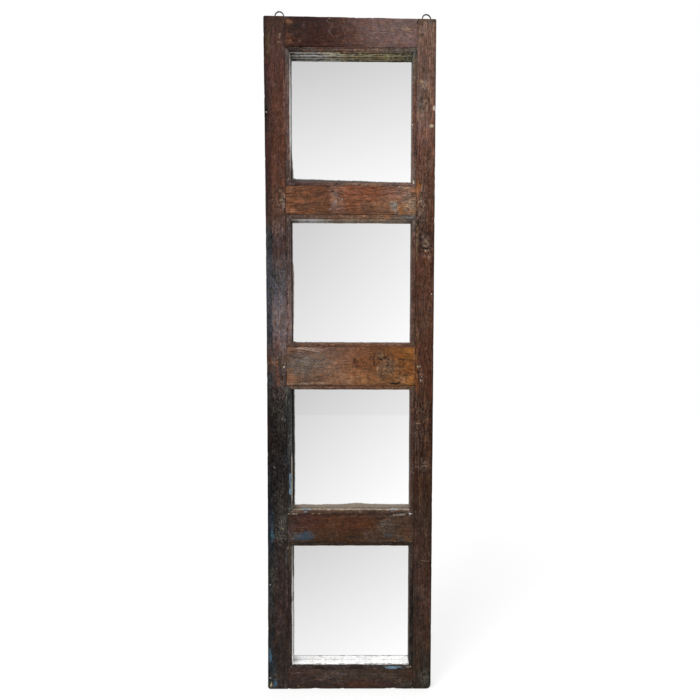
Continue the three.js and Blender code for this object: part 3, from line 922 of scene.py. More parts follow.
# Ground colours of the boards: bands across the board, each with stops along it. Stiles have bands at x
# and stops at z, rails the other way round.
BANDS = {
    "left_stile": [
        (-219,
         [(905, (60, 40, 35)), (850, (68, 48, 33)), (780, (63, 38, 34)), (690, (57, 38, 35)),
          (590, (63, 38, 32)), (510, (58, 36, 31)), (440, (63, 45, 38)), (390, (76, 55, 48)),
          (350, (64, 65, 65)), (305, (66, 66, 69)), (235, (64, 64, 70)), (170, (69, 68, 74)),
          (105, (70, 69, 73)), (60, (71, 65, 65)), (25, (83, 62, 54)), (-25, (62, 54, 52)),
          (-85, (41, 39, 39)), (-140, (33, 27, 24)), (-205, (33, 25, 24)), (-280, (32, 28, 28)),
          (-355, (26, 26, 29)), (-420, (34, 39, 47)), (-462, (29, 37, 43)), (-525, (43, 42, 42)),
          (-600, (41, 40, 39)), (-700, (42, 39, 37)), (-780, (43, 43, 45)), (-820, (44, 47, 50)),
          (-850, (38, 39, 44)), (-890, (49, 55, 53))]),
        (-209,
         [(905, (63, 42, 37)), (850, (73, 51, 36)), (780, (72, 44, 40)), (690, (69, 47, 43)),
          (590, (74, 46, 39)), (510, (67, 43, 37)), (440, (65, 46, 39)), (390, (69, 50, 43)),
          (350, (53, 54, 54)), (305, (55, 55, 58)), (235, (63, 63, 69)), (170, (69, 68, 74)),
          (105, (68, 67, 71)), (60, (71, 65, 65)), (25, (85, 63, 55)), (-25, (61, 53, 51)),
          (-85, (38, 36, 36)), (-140, (27, 22, 20)), (-205, (26, 19, 18)), (-280, (23, 20, 20)),
          (-355, (20, 20, 23)), (-420, (31, 35, 42)), (-462, (28, 36, 43)), (-525, (41, 40, 40)),
          (-600, (40, 39, 38)), (-700, (43, 40, 38)), (-780, (44, 44, 46)), (-820, (44, 47, 51)),
          (-850, (38, 39, 44)), (-890, (49, 55, 53))]),
        (-201,
         [(905, (66, 48, 40)), (850, (77, 52, 46)), (780, (78, 51, 44)), (690, (87, 55, 43)),
          (590, (86, 54, 42)), (510, (86, 56, 44)), (440, (89, 60, 47)), (390, (87, 60, 49)),
          (350, (82, 64, 60)), (305, (79, 61, 57)), (235, (79, 76, 78)), (170, (104, 94, 95)),
          (105, (111, 96, 94)), (60, (103, 85, 82)), (25, (89, 71, 64)), (-25, (84, 67, 61)),
          (-85, (39, 33, 33)), (-140, (27, 23, 22)), (-205, (21, 17, 17)), (-280, (23, 20, 21)),
          (-355, (26, 24, 23)), (-420, (42, 38, 35)), (-462, (40, 36, 33)), (-525, (52, 42, 39)),
          (-600, (54, 43, 40)), (-700, (55, 43, 40)), (-780, (52, 43, 39)), (-820, (50, 43, 39)),
          (-850, (53, 46, 41)), (-890, (57, 49, 43))]),
        (-176,
         [(905, (66, 48, 40)), (850, (79, 54, 48)), (780, (84, 55, 47)), (690, (87, 55, 43)),
          (590, (94, 59, 46)), (510, (96, 63, 50)), (440, (89, 60, 47)), (390, (87, 60, 49)),
          (350, (82, 64, 60)), (305, (78, 60, 56)), (235, (77, 74, 76)), (170, (110, 99, 100)),
          (105, (121, 105, 103)), (60, (110, 91, 88)), (25, (93, 74, 67)), (-25, (84, 67, 61)),
          (-85, (40, 34, 34)), (-140, (30, 26, 25)), (-205, (24, 20, 20)), (-280, (33, 29, 30)),
          (-355, (40, 35, 32)), (-420, (48, 45, 41)), (-462, (40, 36, 33)), (-525, (55, 45, 42)),
          (-600, (54, 43, 40)), (-700, (55, 43, 40)), (-780, (52, 43, 39)), (-820, (50, 43, 39)),
          (-850, (53, 46, 41)), (-890, (57, 49, 43))]),
    ],
    "right_stile": [
        (180,
         [(905, (102, 82, 72)), (870, (119, 93, 81)), (790, (104, 80, 69)), (740, (104, 81, 70)),
          (690, (117, 96, 84)), (640, (130, 98, 88)), (590, (121, 86, 75)), (550, (106, 72, 58)),
          (500, (97, 66, 53)), (440, (87, 61, 48)), (390, (90, 66, 54)), (350, (100, 69, 55)),
          (300, (106, 69, 54)), (250, (87, 55, 42)), (170, (81, 53, 40)), (100, (83, 57, 44)),
          (50, (87, 54, 42)), (0, (93, 60, 43)), (-40, (98, 63, 44)), (-85, (75, 47, 34)),
          (-140, (63, 38, 27)), (-205, (62, 37, 27)), (-260, (58, 36, 25)), (-300, (59, 36, 25)),
          (-355, (62, 43, 32)), (-400, (57, 41, 31)), (-420, (53, 37, 29)), (-462, (71, 50, 41)),
          (-500, (67, 47, 39)), (-560, (62, 44, 37)), (-620, (60, 43, 36)), (-690, (61, 44, 36)),
          (-760, (61, 45, 36)), (-890, (54, 47, 39))]),
        (195,
         [(905, (102, 82, 72)), (870, (118, 92, 80)), (790, (102, 78, 68)), (740, (101, 79, 68)),
          (690, (113, 93, 81)), (640, (124, 94, 84)), (590, (103, 73, 63)), (550, (99, 67, 54)),
          (500, (94, 64, 51)), (440, (87, 61, 48)), (390, (79, 58, 47)), (350, (85, 58, 46)),
          (300, (88, 56, 43)), (250, (84, 53, 40)), (170, (81, 53, 40)), (100, (83, 57, 44)),
          (50, (82, 51, 39)), (0, (82, 51, 37)), (-40, (82, 52, 37)), (-85, (66, 41, 29)),
          (-140, (55, 33, 23)), (-205, (51, 30, 21)), (-260, (53, 32, 22)), (-300, (55, 33, 23)),
          (-355, (60, 41, 31)), (-400, (56, 40, 31)), (-420, (53, 37, 29)), (-462, (60, 42, 34)),
          (-500, (65, 46, 38)), (-560, (62, 44, 37)), (-620, (60, 43, 36)), (-690, (61, 44, 36)),
          (-760, (61, 45, 36)), (-890, (54, 47, 39))]),
        (212,
         [(905, (98, 80, 70)), (870, (120, 92, 78)), (760, (108, 80, 67)), (690, (126, 93, 77)),
          (620, (116, 83, 69)), (500, (95, 64, 49)), (390, (88, 59, 46)), (270, (89, 57, 43)),
          (120, (87, 59, 43)), (0, (82, 51, 37)), (-200, (62, 39, 27)), (-420, (59, 42, 31)),
          (-620, (66, 44, 35)), (-760, (61, 44, 34)), (-850, (50, 46, 41)), (-890, (49, 49, 42))]),
    ],
    "top_rail": [
        (850,
         [(-169, (70, 42, 31)), (-135, (62, 37, 30)), (-60, (64, 37, 29)), (-10, (77, 52, 45)),
          (50, (108, 83, 76)), (120, (119, 94, 88)), (175, (120, 93, 88))]),
        (888,
         [(-169, (70, 47, 37)), (-130, (52, 34, 30)), (-80, (58, 36, 32)), (-20, (82, 58, 50)),
          (40, (105, 80, 74)), (110, (119, 96, 91)), (175, (116, 93, 86))]),
    ],
    "upper_rail": [
        (418,
         [(-169, (122, 79, 55)), (-120, (112, 74, 52)), (-55, (103, 68, 48)), (-35, (125, 89, 71)),
          (0, (115, 75, 54)), (80, (122, 87, 66)), (130, (139, 102, 74)), (175, (126, 98, 77))]),
        (462,
         [(-169, (116, 75, 50)), (-120, (118, 78, 54)), (-60, (107, 70, 52)), (-40, (116, 83, 69)),
          (10, (132, 80, 56)), (80, (137, 87, 63)), (140, (129, 98, 85)), (175, (128, 91, 68))]),
    ],
    "middle_rail": [
        (-38,
         [(-169, (121, 86, 65)), (-110, (111, 86, 71)), (-40, (129, 94, 71)), (30, (138, 94, 61)),
          (90, (116, 80, 54)), (140, (132, 87, 50)), (175, (139, 92, 48))]),
        (5,
         [(-169, (102, 88, 77)), (-110, (104, 90, 78)), (-50, (123, 94, 77)), (20, (126, 83, 55)),
          (70, (120, 76, 48)), (110, (114, 81, 57)), (150, (136, 85, 45)), (175, (128, 80, 46))]),
        (40,
         [(-169, (115, 88, 73)), (-120, (112, 90, 77)), (-50, (121, 92, 77)), (20, (126, 85, 61)),
          (80, (116, 76, 47)), (130, (134, 84, 44)), (175, (139, 88, 44))]),
    ],
    "lower_rail": [
        (-470,
         [(-169, (67, 54, 47)), (-80, (73, 51, 36)), (0, (67, 46, 33)), (90, (76, 59, 47)),
          (150, (85, 63, 46)), (175, (77, 57, 44))]),
        (-425,
         [(-169, (60, 46, 40)), (-120, (75, 48, 41)), (-40, (83, 54, 37)), (40, (79, 48, 33)),
          (80, (74, 51, 37)), (110, (78, 63, 53)), (150, (79, 57, 44)), (175, (75, 57, 48))]),
    ],
    "bottom_rail": [
        (-880,
         [(-169, (57, 45, 40)), (-60, (56, 44, 38)), (40, (66, 46, 36)), (110, (60, 45, 40)),
          (175, (63, 55, 45))]),
        (-855,
         [(-169, (63, 47, 43)), (-60, (66, 53, 47)), (20, (67, 55, 47)), (100, (67, 55, 46)),
          (175, (63, 48, 39))]),
    ],
}

SIDE_DARKENING = 0.8
BACK_TONE = (106, 86, 66)

# Patches of colour that grade into the ground: x, z, half width, half height, hue and strength
STAINS = {
    "left_stile": [
        (-213, 838, 6, 30, "khaki", 0.3), (-182, 857, 5, 5, "rose", 0.4), (-186, 842, 6, 4, "rose", 0.4),
        (-171, 872, 3, 26, "chocolate", 0.4), (-172, 894, 4, 6, "peach", 0.35),
        (-172, 820, 5, 14, "mauve", 0.5), (-190, 690, 6, 6, "rose", 0.25), (-209, 700, 3, 16, "umber", 0.5),
        (-219, 668, 4, 26, "pitch", 0.7), (-182, 460, 5, 5, "taupe", 0.6),
        (-176, 440, 6, 16, "taupe", 0.55), (-174, 420, 4, 26, "taupe", 0.6), (-185, 425, 3, 3, "sand", 0.5),
        (-188, 405, 14, 12, "russet", 0.25), (-206, 345, 5, 26, "pitch", 0.45),
        (-200, 385, 8, 12, "brick", 0.25), (-193, 300, 9, 12, "russet", 0.3),
        (-200, 118, 5, 10, "rose", 0.5), (-198, 88, 6, 5, "rose", 0.45), (-192, 55, 6, 18, "brick", 0.5),
        (-176, 55, 8, 7, "grey", 0.5), (-178, 42, 9, 4, "soot", 0.45), (-205, 8, 14, 6, "peach", 0.35),
        (-193, -20, 5, 36, "brick", 0.35), (-214, -38, 6, 14, "slate", 0.35),
        (-178, 15, 9, 22, "taupe", 0.45), (-219, -130, 4, 60, "chocolate", 0.3),
        (-203, -80, 4, 9, "grey", 0.25), (-178, -60, 8, 6, "grey", 0.3), (-180, -98, 9, 5, "pitch", 0.5),
        (-190, -130, 5, 12, "moss", 0.5), (-176, -140, 8, 9, "grey", 0.4), (-176, -160, 7, 8, "pitch", 0.4),
        (-172, -245, 7, 30, "slate", 0.35), (-194, -230, 8, 26, "plum", 0.25),
        (-218, -300, 4, 50, "slate", 0.3), (-205, -355, 5, 10, "soot", 0.5),
        (-190, -370, 8, 14, "moss", 0.35), (-210, -430, 8, 26, "steel", 0.3),
        (-209, -462, 6, 18, "blue", 0.4), (-180, -440, 10, 34, "grey", 0.28),
        (-198, -478, 5, 8, "chocolate", 0.6), (-182, -500, 10, 16, "plum", 0.35),
        (-199, -530, 5, 26, "slate", 0.3), (-211, -560, 7, 30, "moss", 0.3),
        (-197, -735, 6, 8, "mauve", 0.35), (-210, -650, 8, 14, "moss", 0.35),
        (-217, -650, 5, 60, "slate", 0.2), (-210, -760, 10, 12, "russet", 0.14),
        (-206, -875, 6, 12, "blue", 0.6), (-208, -835, 6, 20, "teal", 0.35),
        (-219, -845, 4, 14, "pitch", 0.6), (-215, -882, 5, 9, "cream", 0.4),
    ],
    "right_stile": [
        (200, 893, 14, 7, "taupe", 0.5), (181, 895, 5, 6, "chocolate", 0.35),
        (182, 868, 5, 24, "peach", 0.3), (200, 860, 12, 22, "peach", 0.16), (189, 842, 5, 8, "rose", 0.35),
        (217, 845, 4, 10, "rose", 0.3), (208, 818, 4, 5, "rose", 0.35), (204, 762, 9, 12, "peach", 0.25),
        (210, 743, 7, 7, "rose", 0.5), (189, 745, 6, 5, "sand", 0.35), (193, 733, 5, 8, "sand", 0.4),
        (182, 698, 8, 12, "umber", 0.35), (201, 697, 6, 12, "tan", 0.3), (184, 672, 8, 14, "taupe", 0.3),
        (203, 665, 4, 4, "chocolate", 0.5), (197, 640, 4, 12, "umber", 0.3),
        (183, 640, 6, 22, "rose", 0.22), (180, 480, 6, 26, "orange", 0.9), (186, 474, 8, 10, "orange", 0.9),
        (181, 450, 5, 20, "orange", 0.35), (201, 483, 4, 16, "chocolate", 0.45),
        (180, 425, 5, 22, "orange", 0.3), (191, 413, 6, 6, "rose", 0.35), (187, 385, 11, 14, "umber", 0.6),
        (205, 380, 10, 8, "umber", 0.35), (187, 345, 6, 26, "umber", 0.5), (204, 352, 16, 5, "umber", 0.55),
        (205, 334, 10, 14, "khaki", 0.3), (190, 320, 14, 5, "pitch", 0.5), (216, 330, 4, 16, "pitch", 0.5),
        (206, 316, 14, 4, "pitch", 0.6), (202, 309, 8, 6, "tan", 0.6), (211, 290, 8, 7, "tan", 0.6),
        (197, 292, 5, 4, "tan", 0.45), (178, 285, 5, 40, "umber", 0.35), (190, 215, 12, 10, "umber", 0.3),
        (192, 142, 13, 9, "umber", 0.55), (206, 140, 7, 6, "umber", 0.35), (205, 118, 16, 16, "tan", 0.14),
        (181, 55, 5, 30, "olive", 0.25), (179, 10, 4, 50, "amber", 0.55),
        (192, 40, 8, 14, "chocolate", 0.4), (191, -18, 5, 14, "rose", 0.22), (193, -38, 7, 6, "sand", 0.25),
        (178, -50, 4, 20, "orange", 0.35), (202, -180, 14, 20, "taupe", 0.2),
        (178, -170, 4, 50, "moss", 0.4), (186, -150, 3, 60, "tan", 0.18),
        (195, -90, 4, 60, "chocolate", 0.35), (209, -110, 4, 70, "tan", 0.15),
        (188, -262, 8, 22, "soot", 0.25), (208, -262, 12, 10, "tan", 0.14),
        (189, -425, 8, 10, "umber", 0.35), (184, -455, 5, 12, "rose", 0.3), (182, -510, 6, 18, "rose", 0.2),
        (181, -400, 5, 8, "khaki", 0.35), (222, -600, 3, 70, "chocolate", 0.4),
        (178, -640, 4, 60, "moss", 0.35), (190, -615, 10, 14, "rose", 0.14),
        (200, -855, 10, 16, "plum", 0.3), (208, -868, 14, 16, "moss", 0.4),
        (178, -855, 6, 10, "brick", 0.25),
    ],
    "top_rail": [
        (-158, 894, 10, 6, "peach", 0.6), (-150, 872, 16, 12, "pitch", 0.25),
        (-160, 855, 10, 10, "brick", 0.4), (-155, 842, 14, 5, "peach", 0.3),
        (-138, 885, 12, 3, "pitch", 0.5), (-110, 893, 26, 4, "plum", 0.3),
        (-95, 862, 34, 14, "chocolate", 0.3), (-119, 884, 4, 5, "rose", 0.4),
        (-130, 846, 4, 5, "rose", 0.5), (-83, 838, 5, 6, "chocolate", 0.4), (-3, 900, 4, 6, "rose", 0.4),
        (146, 876, 14, 6, "tan", 0.55), (40, 846, 30, 2, "umber", 0.35), (80, 838, 80, 4, "umber", 0.3),
        (-60, 838, 30, 3, "rose", 0.2), (90, 868, 60, 24, "mauve", 0.25), (170, 845, 4, 14, "umber", 0.3),
    ],
    "upper_rail": [
        (-155, 466, 14, 7, "peach", 0.5), (-152, 411, 16, 7, "peach", 0.55),
        (-140, 455, 18, 3, "chocolate", 0.35), (-38, 440, 13, 24, "rose", 0.5),
        (-52, 425, 8, 16, "russet", 0.4), (-70, 455, 10, 5, "umber", 0.3), (45, 455, 40, 8, "brick", 0.3),
        (90, 466, 30, 3, "peach", 0.3), (80, 468, 40, 2, "russet", 0.5), (100, 438, 24, 10, "peach", 0.25),
        (118, 426, 10, 14, "silver", 0.55), (112, 430, 12, 6, "sand", 0.5),
        (136, 415, 8, 10, "orange", 0.5), (152, 470, 20, 4, "sand", 0.45), (168, 464, 8, 6, "peach", 0.6),
        (150, 450, 14, 12, "mauve", 0.35), (165, 430, 12, 22, "sand", 0.35), (0, 405, 60, 3, "umber", 0.3),
        (100, 408, 20, 5, "umber", 0.25), (150, 408, 12, 3, "moss", 0.3),
    ],
    "middle_rail": [
        (-158, 44, 10, 8, "peach", 0.4), (-158, -36, 9, 16, "peach", 0.75), (-115, 44, 30, 4, "rose", 0.6),
        (-85, 41, 22, 5, "rose", 0.45), (-110, 12, 40, 18, "grey", 0.3), (-125, -15, 24, 14, "taupe", 0.4),
        (-100, -47, 46, 2, "rose", 0.4), (-110, -38, 30, 3, "umber", 0.3), (-8, -38, 40, 12, "peach", 0.35),
        (14, 12, 7, 12, "russet", 0.45), (24, 2, 4, 6, "russet", 0.5), (66, 16, 3, 14, "russet", 0.55),
        (45, 0, 30, 14, "russet", 0.16), (85, 32, 12, 10, "khaki", 0.3), (82, 20, 9, 3, "pitch", 0.6),
        (95, 25, 4, 10, "pitch", 0.45), (85, -15, 16, 18, "khaki", 0.25), (110, -5, 16, 16, "khaki", 0.2),
        (150, 42, 22, 12, "amber", 0.65), (148, 18, 12, 3, "umber", 0.35), (155, 2, 20, 10, "amber", 0.4),
        (160, -18, 12, 8, "russet", 0.25), (140, -36, 12, 10, "sand", 0.25),
        (158, -38, 12, 12, "amber", 0.55), (120, -46, 12, 3, "pitch", 0.75), (118, -40, 5, 4, "moss", 0.5),
        (60, -49, 30, 2, "umber", 0.3), (175, 0, 2, 40, "peach", 0.5), (-30, -51, 4, 2, "silver", 0.5),
        (10, 47, 30, 3, "rose", 0.25), (42, 50, 8, 2, "sand", 0.4),
    ],
    "lower_rail": [
        (-122, -463, 28, 12, "steel", 0.85), (-108, -454, 12, 5, "slate", 0.4),
        (-155, -470, 14, 10, "slate", 0.35), (-160, -440, 12, 12, "mauve", 0.25),
        (-120, -426, 16, 12, "russet", 0.2), (-20, -430, 60, 14, "russet", 0.2),
        (102, -430, 20, 16, "taupe", 0.5), (80, -415, 8, 3, "pitch", 0.5),
        (104, -460, 12, 8, "slate", 0.45), (140, -471, 9, 5, "slate", 0.5),
        (155, -447, 22, 8, "russet", 0.25), (120, -412, 20, 4, "umber", 0.3),
        (165, -470, 8, 6, "olive", 0.3), (52, -456, 12, 4, "mauve", 0.3),
        (20, -448, 20, 2, "chocolate", 0.4), (130, -480, 40, 1.5, "pitch", 0.4),
        (171, -460, 3, 20, "umber", 0.3),
    ],
    "bottom_rail": [
        (-150, -845, 10, 6, "plum", 0.4), (-70, -862, 24, 10, "rose", 0.16),
        (-35, -852, 14, 8, "grey", 0.3), (12, -848, 8, 6, "grey", 0.25), (30, -878, 36, 7, "russet", 0.3),
        (85, -866, 26, 4, "russet", 0.22), (118, -876, 12, 8, "plum", 0.35),
        (150, -875, 16, 8, "moss", 0.3), (-141, -885, 3, 2.5, "rose", 0.7), (165, -850, 8, 8, "brick", 0.3),
        (110, -855, 30, 8, "taupe", 0.25),
    ],
}

# Flakes of paint, filler and bare wood with a crisp edge: x, z, half width, half height, hue and strength
FLAKES = {
    "left_stile": [
        (-219, 666, 2.5, 3, "bone", 0.9), (-182, 859, 3, 3, "tan", 0.42), (-183, 462, 4, 3, "sand", 0.5),
        (-178, 439, 3, 3, "sand", 0.75), (-191, 441, 3, 2, "sand", 0.5), (-185, 425, 2.5, 3, "bone", 0.6),
        (-213, 240, 8, 90, "slate", 0.3), (-216, 345, 3, 30, "taupe", 0.45),
        (-214, 290, 4, 30, "slate", 0.36), (-190, 235, 22, 34, "slate", 0.3),
        (-183, 185, 16, 20, "grey", 0.3), (-199, 122, 3, 3, "sand", 0.5), (-198, 90, 3, 3, "silver", 0.4),
        (-182, 83, 2, 4, "silver", 0.6), (-176, 53, 4, 4, "silver", 0.55), (-177, -2, 3, 3, "bone", 0.8),
        (-212, -52, 7, 14, "slate", 0.45), (-203, -80, 3, 5, "grey", 0.5),
        (-205, -130, 14, 60, "moss", 0.34), (-182, -143, 3, 3, "sand", 0.7), (-176, -137, 3, 3, "tan", 0.5),
        (-183, -122, 4, 2, "grey", 0.6), (-202, -273, 4, 4, "grey", 0.8),
        (-172, -240, 8, 26, "slate", 0.36), (-194, -236, 3, 3, "grey", 0.4),
        (-205, -372, 3, 10, "grey", 0.4), (-190, -372, 3, 10, "grey", 0.4),
        (-210, -400, 9, 24, "steel", 0.4), (-210, -460, 7, 17, "blue", 0.5),
        (-192, -462, 6, 5, "grey", 0.5), (-180, -440, 8, 26, "khaki", 0.36),
        (-180, -440, 2.5, 3, "sand", 0.75), (-210, -560, 10, 40, "grey", 0.3),
        (-216, -598, 3, 3, "silver", 0.7), (-216, -640, 6, 60, "moss", 0.34),
        (-217.5, -803, 6, 32, "blue", 0.72), (-219, -760, 4, 26, "slate", 0.45),
        (-204, -876, 8, 13, "blue", 0.56), (-208, -828, 7, 18, "teal", 0.3),
        (-219, -862, 5, 2.5, "silver", 0.85), (-216, -880, 4, 9, "cream", 0.78),
        (-212, -889, 4, 2, "cream", 0.5),
    ],
    "right_stile": [
        (221, 678, 7, 8.5, "bone", 0.86), (216, 632.5, 6, 6, "cream", 1.1), (220, 681, 3, 3, "cream", 0.6),
        (187, 746, 3, 3, "sand", 0.5), (192, 734, 3, 4, "sand", 0.55), (213, 745, 4, 3, "rose", 0.5),
        (181, 480, 5, 18, "amber", 0.6), (188, 474, 6, 8, "amber", 0.56), (186, 436, 2.5, 3, "bone", 0.85),
        (190, 424, 2, 2, "pitch", 0.9), (203, 310, 6, 6, "sand", 0.62), (203, 302, 3, 3, "tan", 0.5),
        (213, 292, 6, 5, "sand", 0.55), (197, 292, 3, 3, "sand", 0.5), (196, 354, 4, 4, "pitch", 0.4),
        (205, 331, 7, 11, "khaki", 0.38), (219, 194, 2.5, 3, "bone", 0.85), (188, 157, 5, 2, "grey", 0.45),
        (179, 85, 1.5, 5, "sand", 0.6), (181, 72, 2, 9, "grey", 0.4), (183, 0, 2.5, 3, "bone", 0.85),
        (189, -20, 1.8, 2.4, "bone", 0.7), (193, -27, 1.8, 2.6, "bone", 0.8),
        (191, -36, 2.2, 2.4, "bone", 0.8), (195, -40, 1.8, 2.2, "bone", 0.8),
        (188, -31, 1.8, 2.2, "sand", 0.7), (196, -33, 1.6, 1.8, "sand", 0.7),
        (177, -60, 3, 20, "orange", 0.36), (178, 28, 5, 10, "amber", 0.45),
        (179, -22, 4, 14, "orange", 0.42), (210, -181, 3, 6, "sand", 0.4), (198, -420, 2, 5, "sand", 0.45),
        (186, -424, 2, 2, "grey", 0.4), (188, -452, 2.5, 8, "tan", 0.5), (218, -400, 5, 2, "grey", 0.3),
        (180, -868, 4, 2, "sand", 0.5),
    ],
    "top_rail": [
        (-158, 896, 8, 4, "peach", 0.45), (-156, 849, 10, 5, "orange", 0.36), (-54, 903, 3, 2, "bone", 0.7),
        (-130, 846, 3, 3, "rose", 0.6), (-120, 883, 2, 4, "rose", 0.5), (146, 879, 9, 2, "sand", 0.55),
        (150, 871, 10, 2, "sand", 0.4), (132, 872, 4, 2, "tan", 0.4), (-2, 896, 3, 5, "rose", 0.36),
    ],
    "upper_rail": [
        (-20, 440, 2.5, 3, "chalk", 0.85), (119, 429, 7, 8, "silver", 0.62),
        (122, 412, 6, 7, "silver", 0.6), (104, 430, 6, 3, "sand", 0.5), (-38, 435, 12, 24, "mauve", 0.34),
        (136, 410, 5, 6, "amber", 0.5), (150, 474, 16, 2, "sand", 0.5), (168, 468, 8, 3, "peach", 0.5),
        (164, 440, 10, 22, "sand", 0.42), (-155, 470, 12, 4, "peach", 0.4),
        (-155, 410, 12, 4, "peach", 0.42), (85, 439, 16, 1.5, "sand", 0.45),
        (95, 430, 12, 1.5, "sand", 0.4), (90, 456, 14, 1.5, "peach", 0.45),
    ],
    "middle_rail": [
        (-158, -36, 8, 14, "peach", 0.42), (-120, 46, 22, 2.5, "rose", 0.5), (-150, 2, 3, 6, "grey", 0.5),
        (-143, 5, 3, 22, "grey", 0.42), (-115, 28, 6, 4, "grey", 0.45), (-48, 8, 12, 10, "rose", 0.3),
        (86, 32, 8, 6, "sand", 0.34), (80, 18, 8, 2, "pitch", 0.6), (94, 18, 3, 4, "pitch", 0.6),
        (120, -47, 10, 1.5, "pitch", 0.8), (118, -35, 6, 5, "moss", 0.42), (130, -36, 10, 8, "sand", 0.36),
        (106, 0, 4, 6, "sand", 0.4), (80, -10, 6, 10, "sand", 0.36), (-30, -51, 3, 1.5, "silver", 0.7),
        (42, 50, 6, 1.5, "sand", 0.5), (160, 44, 12, 8, "amber", 0.4), (165, -42, 8, 8, "amber", 0.4),
    ],
    "lower_rail": [
        (-122, -465, 24, 11, "steel", 0.8), (-108, -453, 9, 4, "slate", 0.5),
        (-152, -468, 12, 8, "grey", 0.4), (104, -460, 10, 6, "grey", 0.42), (138, -471, 6, 4, "steel", 0.5),
        (104, -428, 14, 12, "taupe", 0.36), (80, -415, 7, 2, "pitch", 0.6), (164, -407, 5, 2, "chalk", 0.5),
        (110, -405, 10, 2, "sand", 0.4), (52, -456, 8, 3, "mauve", 0.4),
    ],
    "bottom_rail": [
        (-141, -885, 2.2, 2, "sand", 0.8), (-36, -852, 8, 5, "grey", 0.36), (-70, -868, 8, 3, "tan", 0.36),
        (172, -868, 4, 2, "sand", 0.5), (140, -882, 8, 3, "moss", 0.4),
    ],
}

# Smears of paint: their places (x, z), half width, hue and strength
DAUBS = {
    "upper_rail": [
        (((106, 436), (116, 431), (119, 418), (127, 404)), 5.5, "slate", 0.52),
        (((108, 434), (116, 424)), 2.4, "silver", 0.6), (((104, 428), (112, 424)), 3.2, "blue", 0.5),
        (((120, 437), (126, 424)), 2.4, "silver", 0.5), (((136, 411), (137, 404)), 4.5, "orange", 0.7),
        (((130, 475), (150, 473), (174, 475)), 3.0, "cream", 0.52),
        (((-40, 438), (-49, 420)), 3.4, "rose", 0.5),
    ],
    "lower_rail": [
        (((-146, -470), (-128, -467), (-112, -468), (-97, -463)), 6.5, "steel", 0.72),
        (((-136, -457), (-112, -453), (-102, -457)), 5.0, "steel", 0.68),
        (((-138, -464), (-120, -461), (-102, -460)), 3.4, "silver", 0.5),
        (((132, -468), (144, -472)), 3.6, "steel", 0.6),
        (((98, -452), (106, -462), (116, -459)), 4.0, "slate", 0.55),
        (((122, -478), (150, -477), (172, -478)), 2.0, "cream", 0.5),
    ],
    "top_rail": [
        (((132, 880), (146, 877), (160, 879)), 3.6, "sand", 0.55),
        (((134, 868), (152, 867)), 3.0, "tan", 0.55), (((-168, 898), (-150, 894)), 4.5, "peach", 0.5),
        (((-168, 846), (-156, 843)), 4.0, "peach", 0.45),
    ],
    "middle_rail": [
        (((-140, 49), (-114, 46), (-84, 39)), 3.6, "blush", 0.85),
        (((-122, 50), (-96, 47), (-70, 43)), 2.6, "blush", 0.75),
    ],
}

# Knots that the grain flows round: x, z, half width, half height and how far they push it. A shift of 1 mm
# is stored as the unit.
SWIRL_UNIT = 0.01
SWIRLS = {
    "left_stile": [(-196, 850, 16, 40, 7), (-190, 236, 18, 30, 8)],
    "right_stile": [(203, 326, 17, 34, 11), (196, 690, 16, 40, 8)],
    "top_rail": [(-64, 872, 40, 22, 13), (-128, 866, 30, 22, 12)],
    "upper_rail": [(-44, 438, 36, 22, 15), (80, 430, 50, 18, 9), (-140, 446, 34, 18, 8)],
    "middle_rail": [(92, 6, 30, 28, 17), (-20, -6, 44, 26, 9)],
    "lower_rail": [(30, -440, 60, 20, 9)],
}

